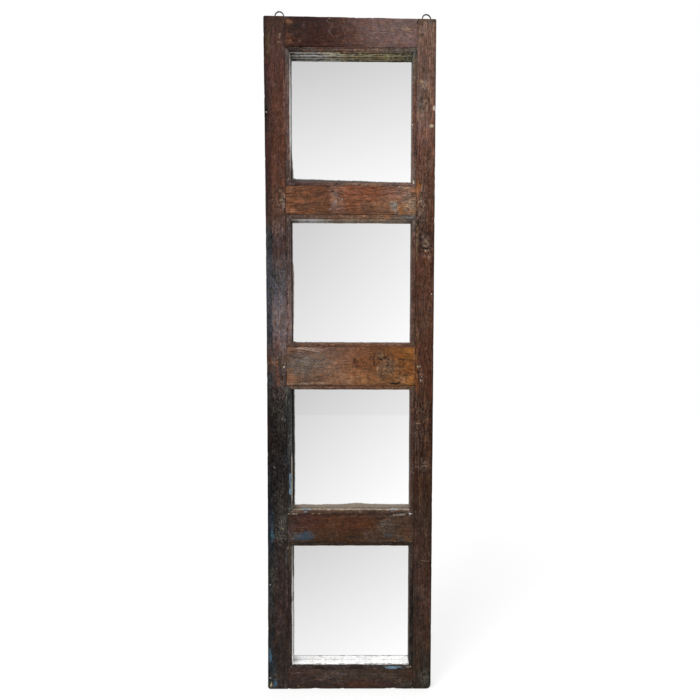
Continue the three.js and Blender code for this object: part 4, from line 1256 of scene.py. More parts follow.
# Narrow marks in the wood: their places (x, z), half width, hue and strength
STROKES = {
    "left_stile": [
        (((-222, 690), (-218, 672), (-222, 650)), 2.6, "pitch", 0.8),
        (((-208, 374), (-206, 345), (-205, 312), (-207, 296)), 2.2, "pitch", 0.7),
        (((-200, 250), (-190, 238), (-184, 226)), 2.2, "soot", 0.6),
        (((-206, 246), (-196, 228), (-188, 212)), 2.2, "soot", 0.6),
        (((-210, 232), (-200, 216), (-192, 204)), 2.2, "soot", 0.55),
        (((-203, 380), (-204, 352)), 2.0, "mauve", 0.6), (((-195, 378), (-196, 346)), 2.0, "rose", 0.55),
        (((-186, 372), (-187, 340)), 2.0, "mauve", 0.6), (((-177, 392), (-178, 336)), 2.2, "mauve", 0.6),
        (((-171, 345), (-170, 322)), 2.0, "pitch", 0.6),
        (((-172, 760), (-171, 690), (-172, 610)), 2.0, "rose", 0.6),
        (((-215, 160), (-214, 70)), 2.2, "pitch", 0.35), (((-208, 110), (-208, 44)), 2.2, "soot", 0.4),
        (((-198, 76), (-196, 46)), 3.0, "brick", 0.6),
        (((-196, 6), (-190, -20), (-189, -52)), 3.0, "brick", 0.6),
        (((-183, 2), (-181, -44)), 2.4, "pitch", 0.7), (((-209, -60), (-210, -96)), 2.4, "pitch", 0.6),
        (((-193, -90), (-172, -97)), 2.4, "pitch", 0.75),
        (((-169, -55), (-170, -96), (-168, -130)), 2.2, "grey", 0.6),
        (((-212, -590), (-205, -596), (-196, -590)), 2.4, "pitch", 0.6),
        (((-197, -535), (-198, -560)), 2.2, "slate", 0.6),
        (((-171, -495), (-172, -540)), 2.2, "grey", 0.65),
        (((-170, -560), (-171, -660)), 2.0, "mauve", 0.5),
    ],
    "right_stile": [
        (((192, 366), (187, 350), (189, 334)), 3.0, "pitch", 0.85),
        (((186, 340), (188, 322), (184, 306)), 3.2, "pitch", 0.75),
        (((196, 357), (206, 356), (215, 346)), 3.2, "pitch", 0.6),
        (((220, 342), (218, 326)), 3.0, "pitch", 0.6),
        (((190, 318), (198, 313), (210, 318), (219, 321)), 3.2, "pitch", 0.9),
        (((192, 306), (200, 300), (210, 302)), 2.8, "pitch", 0.6),
        (((196, 340), (202, 344), (209, 341)), 2.0, "umber", 0.7),
        (((197, 328), (204, 325), (211, 329)), 2.0, "umber", 0.7),
        (((186, -12), (187, -30), (186, -44)), 1.7, "pitch", 0.7),
        (((199, -12), (200, -42)), 1.6, "pitch", 0.6),
        (((190, -24), (194, -34), (192, -44)), 1.3, "pitch", 0.7),
        (((196, 352), (203, 346), (211, 351)), 1.8, "umber", 0.7),
        (((199, 337), (206, 333), (215, 338)), 1.7, "umber", 0.8),
        (((183, 378), (185, 360), (182, 344), (185, 330)), 1.8, "pitch", 0.6),
        (((214, 310), (219, 300), (217, 286)), 1.8, "pitch", 0.55),
        (((188, 302), (190, 288), (186, 276)), 1.8, "pitch", 0.6),
        (((204, 290), (207, 282)), 1.6, "umber", 0.6),
        (((176, -96), (177, -150), (176, -204)), 1.6, "umber", 0.65),
        (((201, -68), (203, -110), (201, -150)), 1.4, "tan", 0.34),
        (((186, -168), (184, -230), (187, -300)), 1.6, "umber", 0.62),
        (((206, -90), (208, -130), (206, -172)), 1.5, "umber", 0.6),
        (((212, -92), (211, -150), (213, -204)), 1.4, "tan", 0.3),
        (((196, -72), (196, -150), (193, -228)), 2.2, "chocolate", 0.6),
        (((186, -272), (188, -300), (187, -334)), 1.4, "rose", 0.32),
        (((203, -290), (202, -360), (204, -430)), 1.5, "umber", 0.6),
        (((192, -290), (191, -350), (193, -404)), 1.4, "tan", 0.32),
        (((214, -286), (215, -350), (213, -420)), 1.6, "umber", 0.55),
        (((190, -404), (188, -450), (190, -498)), 1.6, "umber", 0.55),
        (((200, -420), (202, -470)), 1.6, "umber", 0.38), (((210, -440), (208, -500)), 1.4, "rose", 0.18),
        (((183, 388), (190, 380), (186, 366)), 2.6, "pitch", 0.6),
        (((206, 366), (214, 356), (212, 346)), 2.4, "pitch", 0.55),
        (((177, 378), (178, 330), (177, 282)), 1.8, "khaki", 0.8),
        (((182, 372), (181, 320)), 1.6, "tan", 0.5),
        (((182, 302), (192, 298), (198, 290)), 2.2, "soot", 0.6),
        (((178, 664), (190, 670), (202, 677)), 1.8, "sand", 0.4),
        (((195, 712), (200, 700), (197, 688)), 2.2, "tan", 0.4),
        (((203, 710), (206, 696), (203, 684)), 2.2, "pitch", 0.65),
        (((186, 704), (190, 692), (184, 680)), 2.2, "pitch", 0.6),
        (((212, 702), (215, 690)), 2.0, "sand", 0.5), (((178, 690), (182, 676)), 2.2, "pitch", 0.55),
        (((179, -70), (181, -150), (184, -230), (188, -268)), 1.8, "tan", 0.3),
        (((192, -60), (194, -140), (190, -230)), 2.2, "umber", 0.5),
        (((206, -66), (207, -140), (205, -220)), 1.6, "tan", 0.25),
        (((213, -90), (215, -190)), 2.0, "umber", 0.45),
        (((197, -270), (196, -350), (198, -420)), 1.6, "rose", 0.2),
        (((184, -290), (183, -370), (186, -440)), 2.2, "umber", 0.55),
        (((208, -280), (209, -380)), 2.2, "umber", 0.5), (((177, -180), (179, -260)), 1.6, "sand", 0.25),
        (((196, -531), (226, -533)), 1.2, "sand", 0.4), (((166, -152), (192, -153)), 1.1, "sand", 0.4),
        (((178, -270), (212, -269)), 1.1, "sand", 0.35), (((184, 90), (183, 62)), 1.6, "sand", 0.35),
        (((196, -592), (195, -640)), 1.6, "rose", 0.25), (((222, -640), (221, -700)), 1.8, "rose", 0.4),
        (((188, -505), (190, -560)), 2.2, "umber", 0.5), (((176, 640), (177, 560)), 2.2, "umber", 0.5),
    ],
    "top_rail": [
        (((-60, 898), (-46, 884), (-54, 870), (-44, 858)), 1.5, "rose", 0.45),
        (((-72, 888), (-66, 878), (-66, 866)), 1.4, "rose", 0.15),
        (((-20, 904), (-13, 890), (-20, 878), (-12, 866), (-16, 846)), 1.5, "rose", 0.42),
        (((-118, 896), (-120, 876)), 1.4, "rose", 0.2),
        (((-105, 896), (-99, 886), (-104, 876)), 1.4, "mauve", 0.25),
        (((-90, 892), (-86, 882), (-90, 870)), 1.4, "rose", 0.12),
        (((-160, 870), (-140, 862), (-122, 864)), 2.2, "pitch", 0.6),
        (((-150, 886), (-132, 880)), 2.4, "pitch", 0.6), (((-166, 882), (-150, 876)), 2.2, "pitch", 0.6),
        (((-90, 880), (-82, 868), (-86, 856)), 2.2, "pitch", 0.5),
        (((-36, 862), (-30, 848)), 1.6, "mauve", 0.35),
        (((-60, 836), (-20, 838), (40, 836)), 2.0, "soot", 0.5),
        (((-10, 858), (-8, 840)), 1.6, "rose", 0.35),
    ],
    "upper_rail": [
        (((-168, 457), (-150, 452), (-140, 440)), 2.2, "umber", 0.5),
        (((-160, 468), (-132, 464), (-100, 468)), 2.0, "umber", 0.45),
        (((-158, 422), (-130, 426), (-104, 431), (-76, 433)), 2.4, "umber", 0.75),
        (((-90, 458), (-70, 452), (-56, 456)), 2.2, "chocolate", 0.5),
        (((-140, 412), (-110, 414), (-80, 409)), 2.0, "umber", 0.5),
        (((-60, 474), (-44, 462), (-34, 452), (-20, 444)), 2.2, "umber", 0.6),
        (((0, 468), (40, 471), (80, 469), (116, 472)), 2.0, "umber", 0.7),
        (((4, 452), (30, 456), (70, 452), (112, 456)), 2.0, "chocolate", 0.6),
        (((10, 440), (50, 437), (96, 441)), 2.0, "chocolate", 0.6),
        (((0, 426), (44, 424), (92, 420)), 2.0, "chocolate", 0.6),
        (((16, 412), (60, 410), (108, 406)), 2.0, "chocolate", 0.55),
        (((-52, 440), (-48, 424), (-56, 412)), 2.4, "mauve", 0.6),
        (((-36, 438), (-44, 424), (-52, 414)), 2.4, "silver", 0.5),
        (((-20, 438), (-30, 450), (-40, 456)), 2.2, "mauve", 0.55),
        (((152, 468), (156, 452), (150, 436)), 2.0, "soot", 0.4),
        (((164, 462), (168, 444), (164, 424)), 2.2, "soot", 0.5),
        (((158, 458), (161, 440), (157, 420)), 2.2, "sand", 0.6),
    ],
    "middle_rail": [
        (((-92, 36), (-76, 30), (-66, 14), (-64, -6)), 2.2, "grey", 0.6),
        (((-150, 14), (-148, -8), (-144, -22)), 2.6, "grey", 0.65),
        (((-142, 18), (-139, 2), (-136, -12)), 2.2, "grey", 0.6),
        (((-168, -47), (-130, -46), (-70, -44)), 2.0, "sand", 0.55),
        (((-166, -52), (-60, -51), (40, -52)), 1.8, "soot", 0.6),
        (((-52, 16), (-48, 2), (-52, -10)), 2.2, "rose", 0.55),
        (((12, 22), (14, 8), (20, 0)), 2.6, "umber", 0.75), (((22, 14), (20, 0)), 2.4, "russet", 0.7),
        (((66, 34), (65, 16), (67, 4)), 2.8, "umber", 0.75), (((58, 28), (56, 10)), 2.2, "russet", 0.6),
        (((76, 26), (84, 18), (92, 22)), 2.4, "pitch", 0.75), (((92, 34), (96, 24)), 2.2, "pitch", 0.6),
        (((76, 36), (84, 32)), 2.2, "umber", 0.5), (((104, 30), (106, 10), (102, -6)), 2.4, "umber", 0.6),
        (((116, 22), (114, 2), (118, -14)), 2.2, "umber", 0.6),
        (((88, -2), (84, -20), (90, -32)), 2.4, "umber", 0.65), (((76, 4), (74, -14)), 2.2, "sand", 0.5),
        (((108, -44), (120, -46), (134, -44)), 3.2, "pitch", 0.85),
        (((112, -34), (118, -38)), 2.4, "pitch", 0.6), (((134, 6), (134, -30)), 2.2, "umber", 0.6),
        (((130, 19), (150, 20), (172, 16)), 2.4, "umber", 0.8),
        (((138, -8), (156, -12), (172, -8)), 2.2, "russet", 0.6),
        (((142, -24), (158, -22)), 2.2, "umber", 0.55), (((26, 46), (60, 48), (92, 45)), 2.2, "umber", 0.5),
        (((174, 44), (174, 20)), 1.6, "sand", 0.4), (((173, -4), (174, -40)), 1.6, "tan", 0.4),
        (((12, -20), (16, -34)), 2.0, "umber", 0.5), (((46, -16), (50, -34)), 2.0, "umber", 0.5),
    ],
    "lower_rail": [
        (((-169, -404), (-60, -405), (40, -404), (174, -406)), 2.0, "pitch", 0.6),
        (((70, -412), (84, -416), (96, -411)), 2.6, "pitch", 0.75),
        (((90, -480), (130, -479), (170, -481)), 2.2, "pitch", 0.7),
        (((-20, -428), (-18, -444), (4, -448)), 2.4, "umber", 0.6),
        (((-168, -448), (-160, -462)), 2.4, "mauve", 0.5), (((40, -456), (62, -452)), 2.4, "mauve", 0.5),
        (((88, -420), (92, -436), (96, -448)), 2.2, "taupe", 0.6),
        (((108, -414), (110, -430)), 2.2, "taupe", 0.5), (((120, -404), (150, -403)), 2.2, "bone", 0.55),
        (((-90, -478), (-20, -477)), 2.0, "pitch", 0.5),
    ],
    "bottom_rail": [
        (((-110, -868), (-90, -866), (-58, -869)), 1.6, "rose", 0.3),
        (((-134, -876), (-124, -870)), 1.6, "rose", 0.25), (((-132, -884), (-124, -878)), 1.6, "soot", 0.4),
        (((-30, -880), (40, -878), (100, -881)), 2.0, "russet", 0.6),
        (((-20, -888), (20, -886)), 2.0, "chocolate", 0.6),
        (((-52, -850), (-30, -848), (-10, -852)), 2.2, "mauve", 0.5),
        (((64, -852), (110, -850), (150, -853)), 2.0, "taupe", 0.5),
        (((102, -858), (104, -884)), 2.2, "soot", 0.55), (((-160, -848), (-130, -846)), 2.0, "mauve", 0.5),
    ],
}

# Where old paint has broken up: x, z, half width, half height, pale specks and dark net
SPECKLES = {
    "left_stile": [
        (-180, 848, 10, 26, 0.7, 0.3), (-214, 838, 8, 24, 0.2, 0.6), (-214, 664, 10, 34, 0.35, 0.9),
        (-178, 650, 12, 60, 0.45, 0.3), (-195, 735, 14, 12, 0.6, 0.2), (-176, 432, 13, 48, 1.2, 0.7),
        (-196, 440, 18, 50, 0.6, 0.5), (-188, 360, 22, 36, 1.0, 0.9), (-212, 330, 12, 46, 0.4, 1.0),
        (-192, 232, 24, 34, 0.55, 0.95), (-196, 130, 16, 60, 0.7, 0.35), (-214, 130, 9, 80, 0.2, 0.6),
        (-182, 40, 16, 26, 0.75, 0.8), (-200, 8, 22, 22, 0.6, 0.9), (-180, -24, 14, 34, 0.6, 1.0),
        (-206, -42, 16, 22, 0.5, 0.8), (-186, -112, 40, 90, 0.84, 1.3), (-178, -180, 22, 60, 0.76, 1.2),
        (-198, -215, 36, 70, 0.6, 1.1), (-194, -290, 36, 66, 0.56, 1.2), (-188, -372, 38, 66, 0.8, 1.2),
        (-184, -440, 30, 60, 1.0, 1.1), (-190, -466, 26, 22, 0.95, 1.0), (-208, -432, 14, 46, 0.4, 0.6),
        (-196, -512, 26, 24, 0.55, 1.1), (-206, -590, 18, 64, 0.75, 0.95), (-180, -600, 14, 80, 0.35, 0.5),
        (-206, -680, 18, 60, 0.3, 0.6), (-200, -800, 20, 40, 0.25, 0.8), (-200, -868, 26, 26, 0.55, 0.9),
    ],
    "right_stile": [
        (202, 895, 24, 12, 0.75, 1.15), (196, 866, 24, 24, 0.5, 0.25), (204, 800, 22, 50, 0.5, 0.3),
        (199, 735, 22, 18, 1.0, 0.6), (194, 688, 20, 30, 0.7, 1.15), (190, 655, 16, 20, 0.8, 0.8),
        (204, 610, 22, 40, 0.5, 0.5), (202, 525, 26, 64, 0.8, 0.9), (186, 430, 20, 66, 1.1, 1.3),
        (208, 440, 18, 50, 0.5, 0.8), (196, 375, 26, 44, 0.6, 1.4), (204, 330, 20, 28, 1.2, 1.3),
        (202, 296, 22, 14, 1.0, 0.8), (200, 240, 28, 56, 0.55, 0.9), (198, 165, 26, 34, 0.5, 0.7),
        (202, 110, 24, 26, 0.45, 0.5), (200, 50, 24, 50, 0.4, 0.8), (194, -28, 9, 24, 0.9, 1.3),
        (188, -160, 18, 120, 0.8, 0.8), (210, -150, 16, 110, 0.4, 0.7), (198, -262, 26, 36, 1.0, 0.9),
        (188, -414, 18, 44, 0.4, 0.9), (206, -420, 18, 60, 0.5, 0.6), (202, -520, 24, 60, 0.5, 0.7),
        (206, -620, 22, 60, 0.7, 0.6), (202, -740, 26, 90, 0.45, 0.6), (204, -862, 26, 36, 0.85, 1.2),
    ],
    "top_rail": [
        (-140, 870, 34, 36, 0.4, 0.9), (-50, 870, 60, 38, 0.3, 0.4), (60, 870, 60, 38, 0.5, 0.3),
        (140, 872, 40, 38, 0.6, 0.35), (-150, 842, 30, 10, 0.3, 0.8),
    ],
    "upper_rail": [
        (117, 419, 13, 20, 0.5, 1.8), (-120, 440, 60, 38, 0.25, 0.3), (-38, 440, 22, 34, 0.7, 0.4),
        (60, 438, 60, 38, 0.35, 0.5), (116, 424, 18, 20, 0.9, 1.1), (156, 438, 24, 40, 1.1, 1.0),
        (150, 474, 30, 5, 0.9, 0.7),
    ],
    "middle_rail": [
        (-120, 10, 50, 44, 0.7, 0.25), (-60, 0, 30, 30, 0.6, 0.3), (0, -20, 50, 34, 0.5, 0.25),
        (24, 8, 22, 22, 0.4, 1.0), (70, 10, 18, 30, 0.3, 1.0), (100, -2, 26, 48, 0.75, 1.15),
        (150, -28, 28, 26, 0.6, 1.1), (150, 8, 26, 16, 0.4, 0.9), (60, 40, 60, 10, 0.4, 0.6),
    ],
    "lower_rail": [
        (-120, -463, 24, 11, 0.9, 0.9), (-130, -462, 40, 16, 0.9, 1.0), (-150, -425, 24, 20, 0.4, 0.7),
        (100, -430, 26, 24, 0.7, 0.6), (60, -408, 110, 6, 0.8, 0.8), (140, -455, 34, 24, 0.5, 0.9),
        (0, -462, 70, 18, 0.4, 0.6), (-40, -430, 60, 24, 0.25, 0.4),
    ],
    "bottom_rail": [
        (-130, -865, 40, 26, 0.5, 0.6), (-40, -862, 50, 24, 0.6, 0.6), (60, -865, 50, 26, 0.45, 0.6),
        (140, -868, 34, 26, 0.5, 0.8),
    ],
}

# The front carries the marks. They have gone at the first of these y and are whole at the second.
MARK_DEPTHS = (-14, -34)

# Shares of its half size at which each kind of patch starts to fade and has gone
PATCH_FADES = {"stains": (0.1, 1.4), "flakes": (0.2, 1.35), "speckles": (0.35, 1.3)}

# What each kind of mark adds to the seed of its piece
MARK_SEEDS = {"stains": 0, "flakes": 900, "strokes": 1500, "daubs": 1800, "speckles": 2100}


def patch_weight(points, patch, fade, seed):
    """From 1 at the middle of a patch to 0 outside its wandering outline"""
    x, z, half_x, half_z = patch[:4]
    full, none = fade
    near = (np.abs(points[:, 0] - x) < 2 * half_x + 3) & (np.abs(points[:, 2] - z) < 2 * half_z + 3)
    weight = np.zeros(len(points))
    if near.any():
        close = points[near]
        reach = np.hypot((close[:, 0] - x) / half_x, (close[:, 2] - z) / half_z)
        size = (max(3.5, half_x * 0.8), 9, max(3.5, half_z * 0.5))
        reach += 0.5 * fractal(close, size, seed, 4)
        weight[near] = smooth(reach, none, full) * smooth(close[:, 1], *MARK_DEPTHS)
    return weight


def stroke_weight(points, stroke, seed):
    """The same for a stroke along a row of places, each x and z"""
    places, width = np.array(stroke[0], float), stroke[1]
    low, high = places.min(0) - 4 * width, places.max(0) + 4 * width
    flat = points[:, [0, 2]]
    near = (flat > low).all(axis=1) & (flat < high).all(axis=1) & (points[:, 1] < MARK_DEPTHS[0])
    weight = np.zeros(len(points))
    if near.any():
        close = flat[near]
        wander = np.stack([fractal(points[near], 9, seed + k, 3) for k in (0, 50)], axis=-1)
        close = close + 1.3 * wander
        reach = np.full(len(close), 9.0)
        for start, end in zip(places, places[1:]):
            along = end - start
            share = np.clip((close - start) @ along / (along @ along), 0, 1)
            gap = np.linalg.norm(close - start - share[:, None] * along, axis=1)
            reach = np.minimum(reach, gap / width)
        weight[near] = smooth(reach, 1.3, 0.3)
    return weight


def value_along(along, stops):
    """The value at each place, from a table of places and values"""
    places, values = zip(*sorted(stops))
    return np.interp(along, places, values)


def colour_along(along, stops):
    stops = [(place, linear(colour)) for place, colour in stops]
    return np.stack([value_along(along, [(place, colour[k]) for place, colour in stops]) for k in range(3)],
                    axis=-1)


def banded(points, bands, along_axis, seed):
    """Ground colour from the bands across a board"""
    along = points[:, along_axis] + 9 * fractal(points, 7, seed, 3)
    across = points[:, 2 - along_axis] + 2.5 * fractal(points, 12, seed + 7, 3)
    columns = [colour_along(along, stops) for _, stops in bands]
    colour = columns[0]
    for (low, _), (high, _), column in zip(bands, bands[1:], columns[1:]):
        colour = blended(colour, column, smooth(across, low, high))
    return colour


def blended(first, second, share):
    share = share[:, None]
    return first * (1 - share) + second * share


def store(piece, name, colour, alpha):
    attribute = piece.data.attributes.new(name, "FLOAT_COLOR", "POINT")
    values = np.concatenate([colour, alpha[:, None]], axis=1)
    attribute.data.foreach_set("color", values.ravel())


def paint(piece, ground, marks, worn, grime_and_shade, specks, net, seed):
    """Writes the colour attributes that the materials read"""
    points = points_of(piece)

    def weighed(kind):
        """The last two values of each mark of a kind, and its weight at each point"""
        for index, mark in enumerate(marks.get(kind, ())):
            mark_seed = seed + MARK_SEEDS[kind] + index
            if kind in PATCH_FADES:
                weight = patch_weight(points, mark, PATCH_FADES[kind], mark_seed)
            else:
                weight = stroke_weight(points, mark, mark_seed)
            yield *mark[-2:], weight

    patchy = 0.45 + 0.55 * smooth(fractal(points, 7, seed + 300, 4), -0.45, 0.35)
    for kind in ("stains", "strokes"):
        for hue, strength, weight in weighed(kind):
            ground = blended(ground, linear(HUES[hue]), strength * patchy * weight)
    coat, cover = ground.copy(), np.zeros(len(points))
    ragged = 0.88 + 0.5 * fractal(points, 4.5, seed + 310, 3)
    for kind, edge in (("flakes", 1), ("daubs", ragged)):
        for hue, strength, weight in weighed(kind):
            weight = strength * (edge * weight)
            coat[weight > cover] = linear(HUES[hue])
            cover = np.maximum(cover, weight)
    for pale, dark, weight in weighed("speckles"):
        specks = np.maximum(specks, pale * weight)
        net = np.maximum(net, dark * weight)
    store(piece, "ground", ground, np.ones(len(points)))
    store(piece, "coat", coat, cover)
    store(piece, "state", np.stack([worn, grime_and_shade, specks], axis=-1), net)


# Where the outer face of each stile starts to darken and where it is fully dark, in x: dirt and painted
# shade
OUTER_FACES = {"left_stile": (-218, -222), "right_stile": (220.5, 223.5)}


def paint_board(piece, name):
    points = points_of(piece)
    upright = name in STILES
    along_axis = 2 if upright else 0
    seed = BOARD_SEEDS[name] + SEEDS["board_paint"]
    front = banded(points, BANDS[name], along_axis, seed)
    low, high = points.min(0), points.max(0)
    if not upright:
        low[0], high[0] = left_inner, right_inner
    depth_share = smooth(points[:, 1], front_y + 1, front_y + 8)[:, None]
    back_share = smooth(points[:, 1] + 1.5 * fractal(points, 5, seed + 3, 3), -5, -1)
    back = linear(BACK_TONE) * (1 + 0.25 * fractal(points, 40, seed + 4, 3))[:, None]
    ground = blended(front * (1 - depth_share * (1 - SIDE_DARKENING)), back, back_share)
    gaps = np.minimum(points - low, high - points)
    gap_across, gap_along = gaps[:, 2 - along_axis], gaps[:, along_axis]
    gap_depth = np.minimum(points[:, 1] - front_y, -points[:, 1])
    arris = bell(np.maximum(gap_across, gap_depth), 2.6)
    end_arris = bell(np.maximum(gap_along, gap_depth), 2.0)
    patchy = smooth(fractal(points, (9, 9, 22), seed + 5, 3), -0.2, 0.6)
    worn = np.maximum(arris, end_arris) * patchy
    # Darker towards each stile's outer face: dirt and painted shade of the face that turns from the light
    if upright:
        grime_and_shade = 0.6 * smooth(points[:, 0], *OUTER_FACES[name]) * (1 - back_share)
    else:
        grime_and_shade = 0.3 * patchy * bell(gap_along, 1.2)
    # Darker arrises where they are not rubbed: dirt and painted shade of the rounded edges
    grime_and_shade = np.maximum(grime_and_shade, 0.3 * arris * (1 - patchy))
    specks = 0.4 * smooth(fractal(points, 40, seed + 6, 4), -0.3, 0.7)
    net = (0.6 if upright else 0.3) * smooth(fractal(points, 30, seed + 8, 4), -0.4, 0.6)
    marks = {"stains": STAINS[name], "flakes": FLAKES[name], "strokes": STROKES[name],
             "daubs": DAUBS.get(name, ()), "speckles": SPECKLES[name]}
    paint(piece, ground, marks, worn, grime_and_shade, specks, net, seed)
    paint_swirls(piece, name)


def paint_swirls(piece, name):
    """Shifts the grain of a board so that it flows round its knots"""
    points = points_of(piece)
    swirl = np.zeros((len(points), 3))
    axis = 0 if name in STILES else 2
    for x, z, wide, high, push in SWIRLS.get(name, ()):
        across = (points[:, 0] - x) / wide
        up = (points[:, 2] - z) / high
        swirl[:, axis] -= push * np.exp(-across**2 - up**2) * (across if axis == 0 else up)
    store(piece, "swirl", SWIRL_UNIT * swirl, np.zeros(len(points)))


# Colours of the mouldings, with stops along each: on the slope that faces out, and on the reveal
TRIM = {
    (1, "left"): (
        [(820, (110, 94, 92)), (780, (92, 76, 69)), (700, (112, 85, 80)), (600, (110, 85, 79)),
         (550, (106, 83, 77)), (500, (80, 64, 60))],
        [(820, (176, 172, 168)), (760, (225, 224, 221)), (700, (248, 248, 246)), (600, (236, 234, 230)),
         (550, (190, 182, 176)), (520, (128, 118, 112)), (490, (112, 102, 96))],
    ),
    (1, "right"): (
        [(820, (90, 86, 82)), (790, (98, 80, 66)), (700, (107, 76, 64)), (560, (100, 72, 62)),
         (490, (103, 86, 78))],
        [(820, (100, 96, 92)), (650, (115, 100, 90)), (490, (105, 92, 84))],
    ),
    (1, "top"): (
        [(-165, (52, 44, 43)), (-132, (74, 60, 54)), (-110, (100, 80, 69)), (0, (110, 85, 72)),
         (100, (113, 93, 79)), (170, (105, 100, 92))],
        [(-165, (112, 106, 98)), (-146, (196, 192, 182)), (-90, (214, 210, 200)), (-50, (210, 200, 172)),
         (40, (204, 188, 146)), (100, (208, 200, 156)), (170, (180, 172, 136))],
    ),
    (1, "bottom"): (
        [(-165, (70, 53, 51)), (-120, (86, 61, 59)), (-60, (105, 80, 68)), (60, (113, 86, 72)),
         (170, (107, 87, 80))],
        [(-165, (96, 80, 70)), (170, (110, 96, 84))],
    ),
    (2, "left"): (
        [(388, (86, 72, 66)), (350, (92, 76, 70)), (305, (88, 73, 68)), (240, (98, 80, 76)),
         (170, (124, 100, 96)), (110, (148, 119, 115)), (60, (108, 88, 83))],
        [(388, (96, 84, 78)), (350, (112, 98, 92)), (220, (116, 102, 97)), (150, (150, 136, 132)),
         (110, (178, 162, 158)), (60, (140, 124, 118))],
    ),
    (2, "right"): (
        [(388, (91, 81, 75)), (340, (91, 65, 54)), (200, (89, 61, 52)), (60, (95, 73, 61))],
        [(388, (88, 76, 66)), (60, (96, 78, 68))],
    ),
    (2, "top"): (
        [(-165, (105, 90, 85)), (-80, (120, 93, 78)), (40, (139, 102, 76)), (100, (139, 102, 78)),
         (135, (120, 109, 102)), (170, (115, 112, 107))],
        [(-165, (116, 100, 88)), (-148, (222, 218, 208)), (-76, (226, 222, 212)), (-46, (176, 154, 132)),
         (170, (156, 136, 118))],
    ),
    (2, "bottom"): (
        [(-165, (92, 68, 57)), (-60, (108, 76, 59)), (60, (112, 76, 55)), (170, (104, 76, 61))],
        [(-165, (92, 76, 66)), (170, (104, 84, 70))],
    ),
    (3, "left"): (
        [(-60, (62, 62, 58)), (-140, (54, 54, 52)), (-205, (57, 57, 55)), (-280, (54, 54, 55)),
         (-350, (52, 52, 49)), (-395, (66, 60, 54))],
        [(-60, (80, 80, 76)), (-220, (90, 94, 93)), (-300, (116, 118, 115)), (-395, (134, 132, 124))],
    ),
    (3, "right"): (
        [(-60, (94, 73, 61)), (-120, (77, 54, 45)), (-240, (75, 54, 46)), (-395, (71, 54, 45))],
        [(-60, (88, 74, 66)), (-395, (92, 82, 74))],
    ),
    (3, "top"): (
        [(-165, (106, 86, 75)), (-60, (122, 90, 73)), (60, (122, 86, 66)), (170, (122, 88, 64))],
        [(-165, (102, 85, 76)), (170, (112, 90, 76))],
    ),
    (3, "bottom"): (
        [(-165, (80, 63, 54)), (-60, (75, 55, 44)), (60, (75, 55, 44)), (170, (82, 63, 52))],
        [(-165, (136, 124, 113)), (0, (139, 126, 115)), (170, (132, 121, 111))],
    ),
    (4, "left"): (
        [(-492, (70, 62, 53)), (-600, (61, 48, 44)), (-700, (59, 45, 41)), (-828, (63, 51, 46))],
        [(-492, (160, 154, 148)), (-560, (176, 172, 166)), (-590, (240, 240, 238)),
         (-630, (240, 240, 238)), (-648, (150, 142, 138)), (-662, (250, 250, 249)),
         (-828, (250, 250, 249))],
    ),
    (4, "right"): (
        [(-492, (62, 50, 45)), (-555, (56, 45, 40)), (-600, (40, 31, 28)), (-760, (34, 29, 27)),
         (-828, (42, 37, 33))],
        [(-492, (66, 57, 51)), (-828, (72, 63, 57))],
    ),
    (4, "top"): (
        [(-165, (60, 52, 46)), (0, (62, 48, 40)), (170, (58, 48, 42))],
        [(-165, (80, 66, 57)), (170, (80, 66, 57))],
    ),
    (4, "bottom"): (
        [(-165, (56, 47, 42)), (-60, (50, 40, 38)), (60, (52, 42, 40)), (110, (62, 60, 60)),
         (170, (68, 58, 51))],
        [(-165, (250, 250, 249)), (170, (250, 250, 249))],
    ),
}

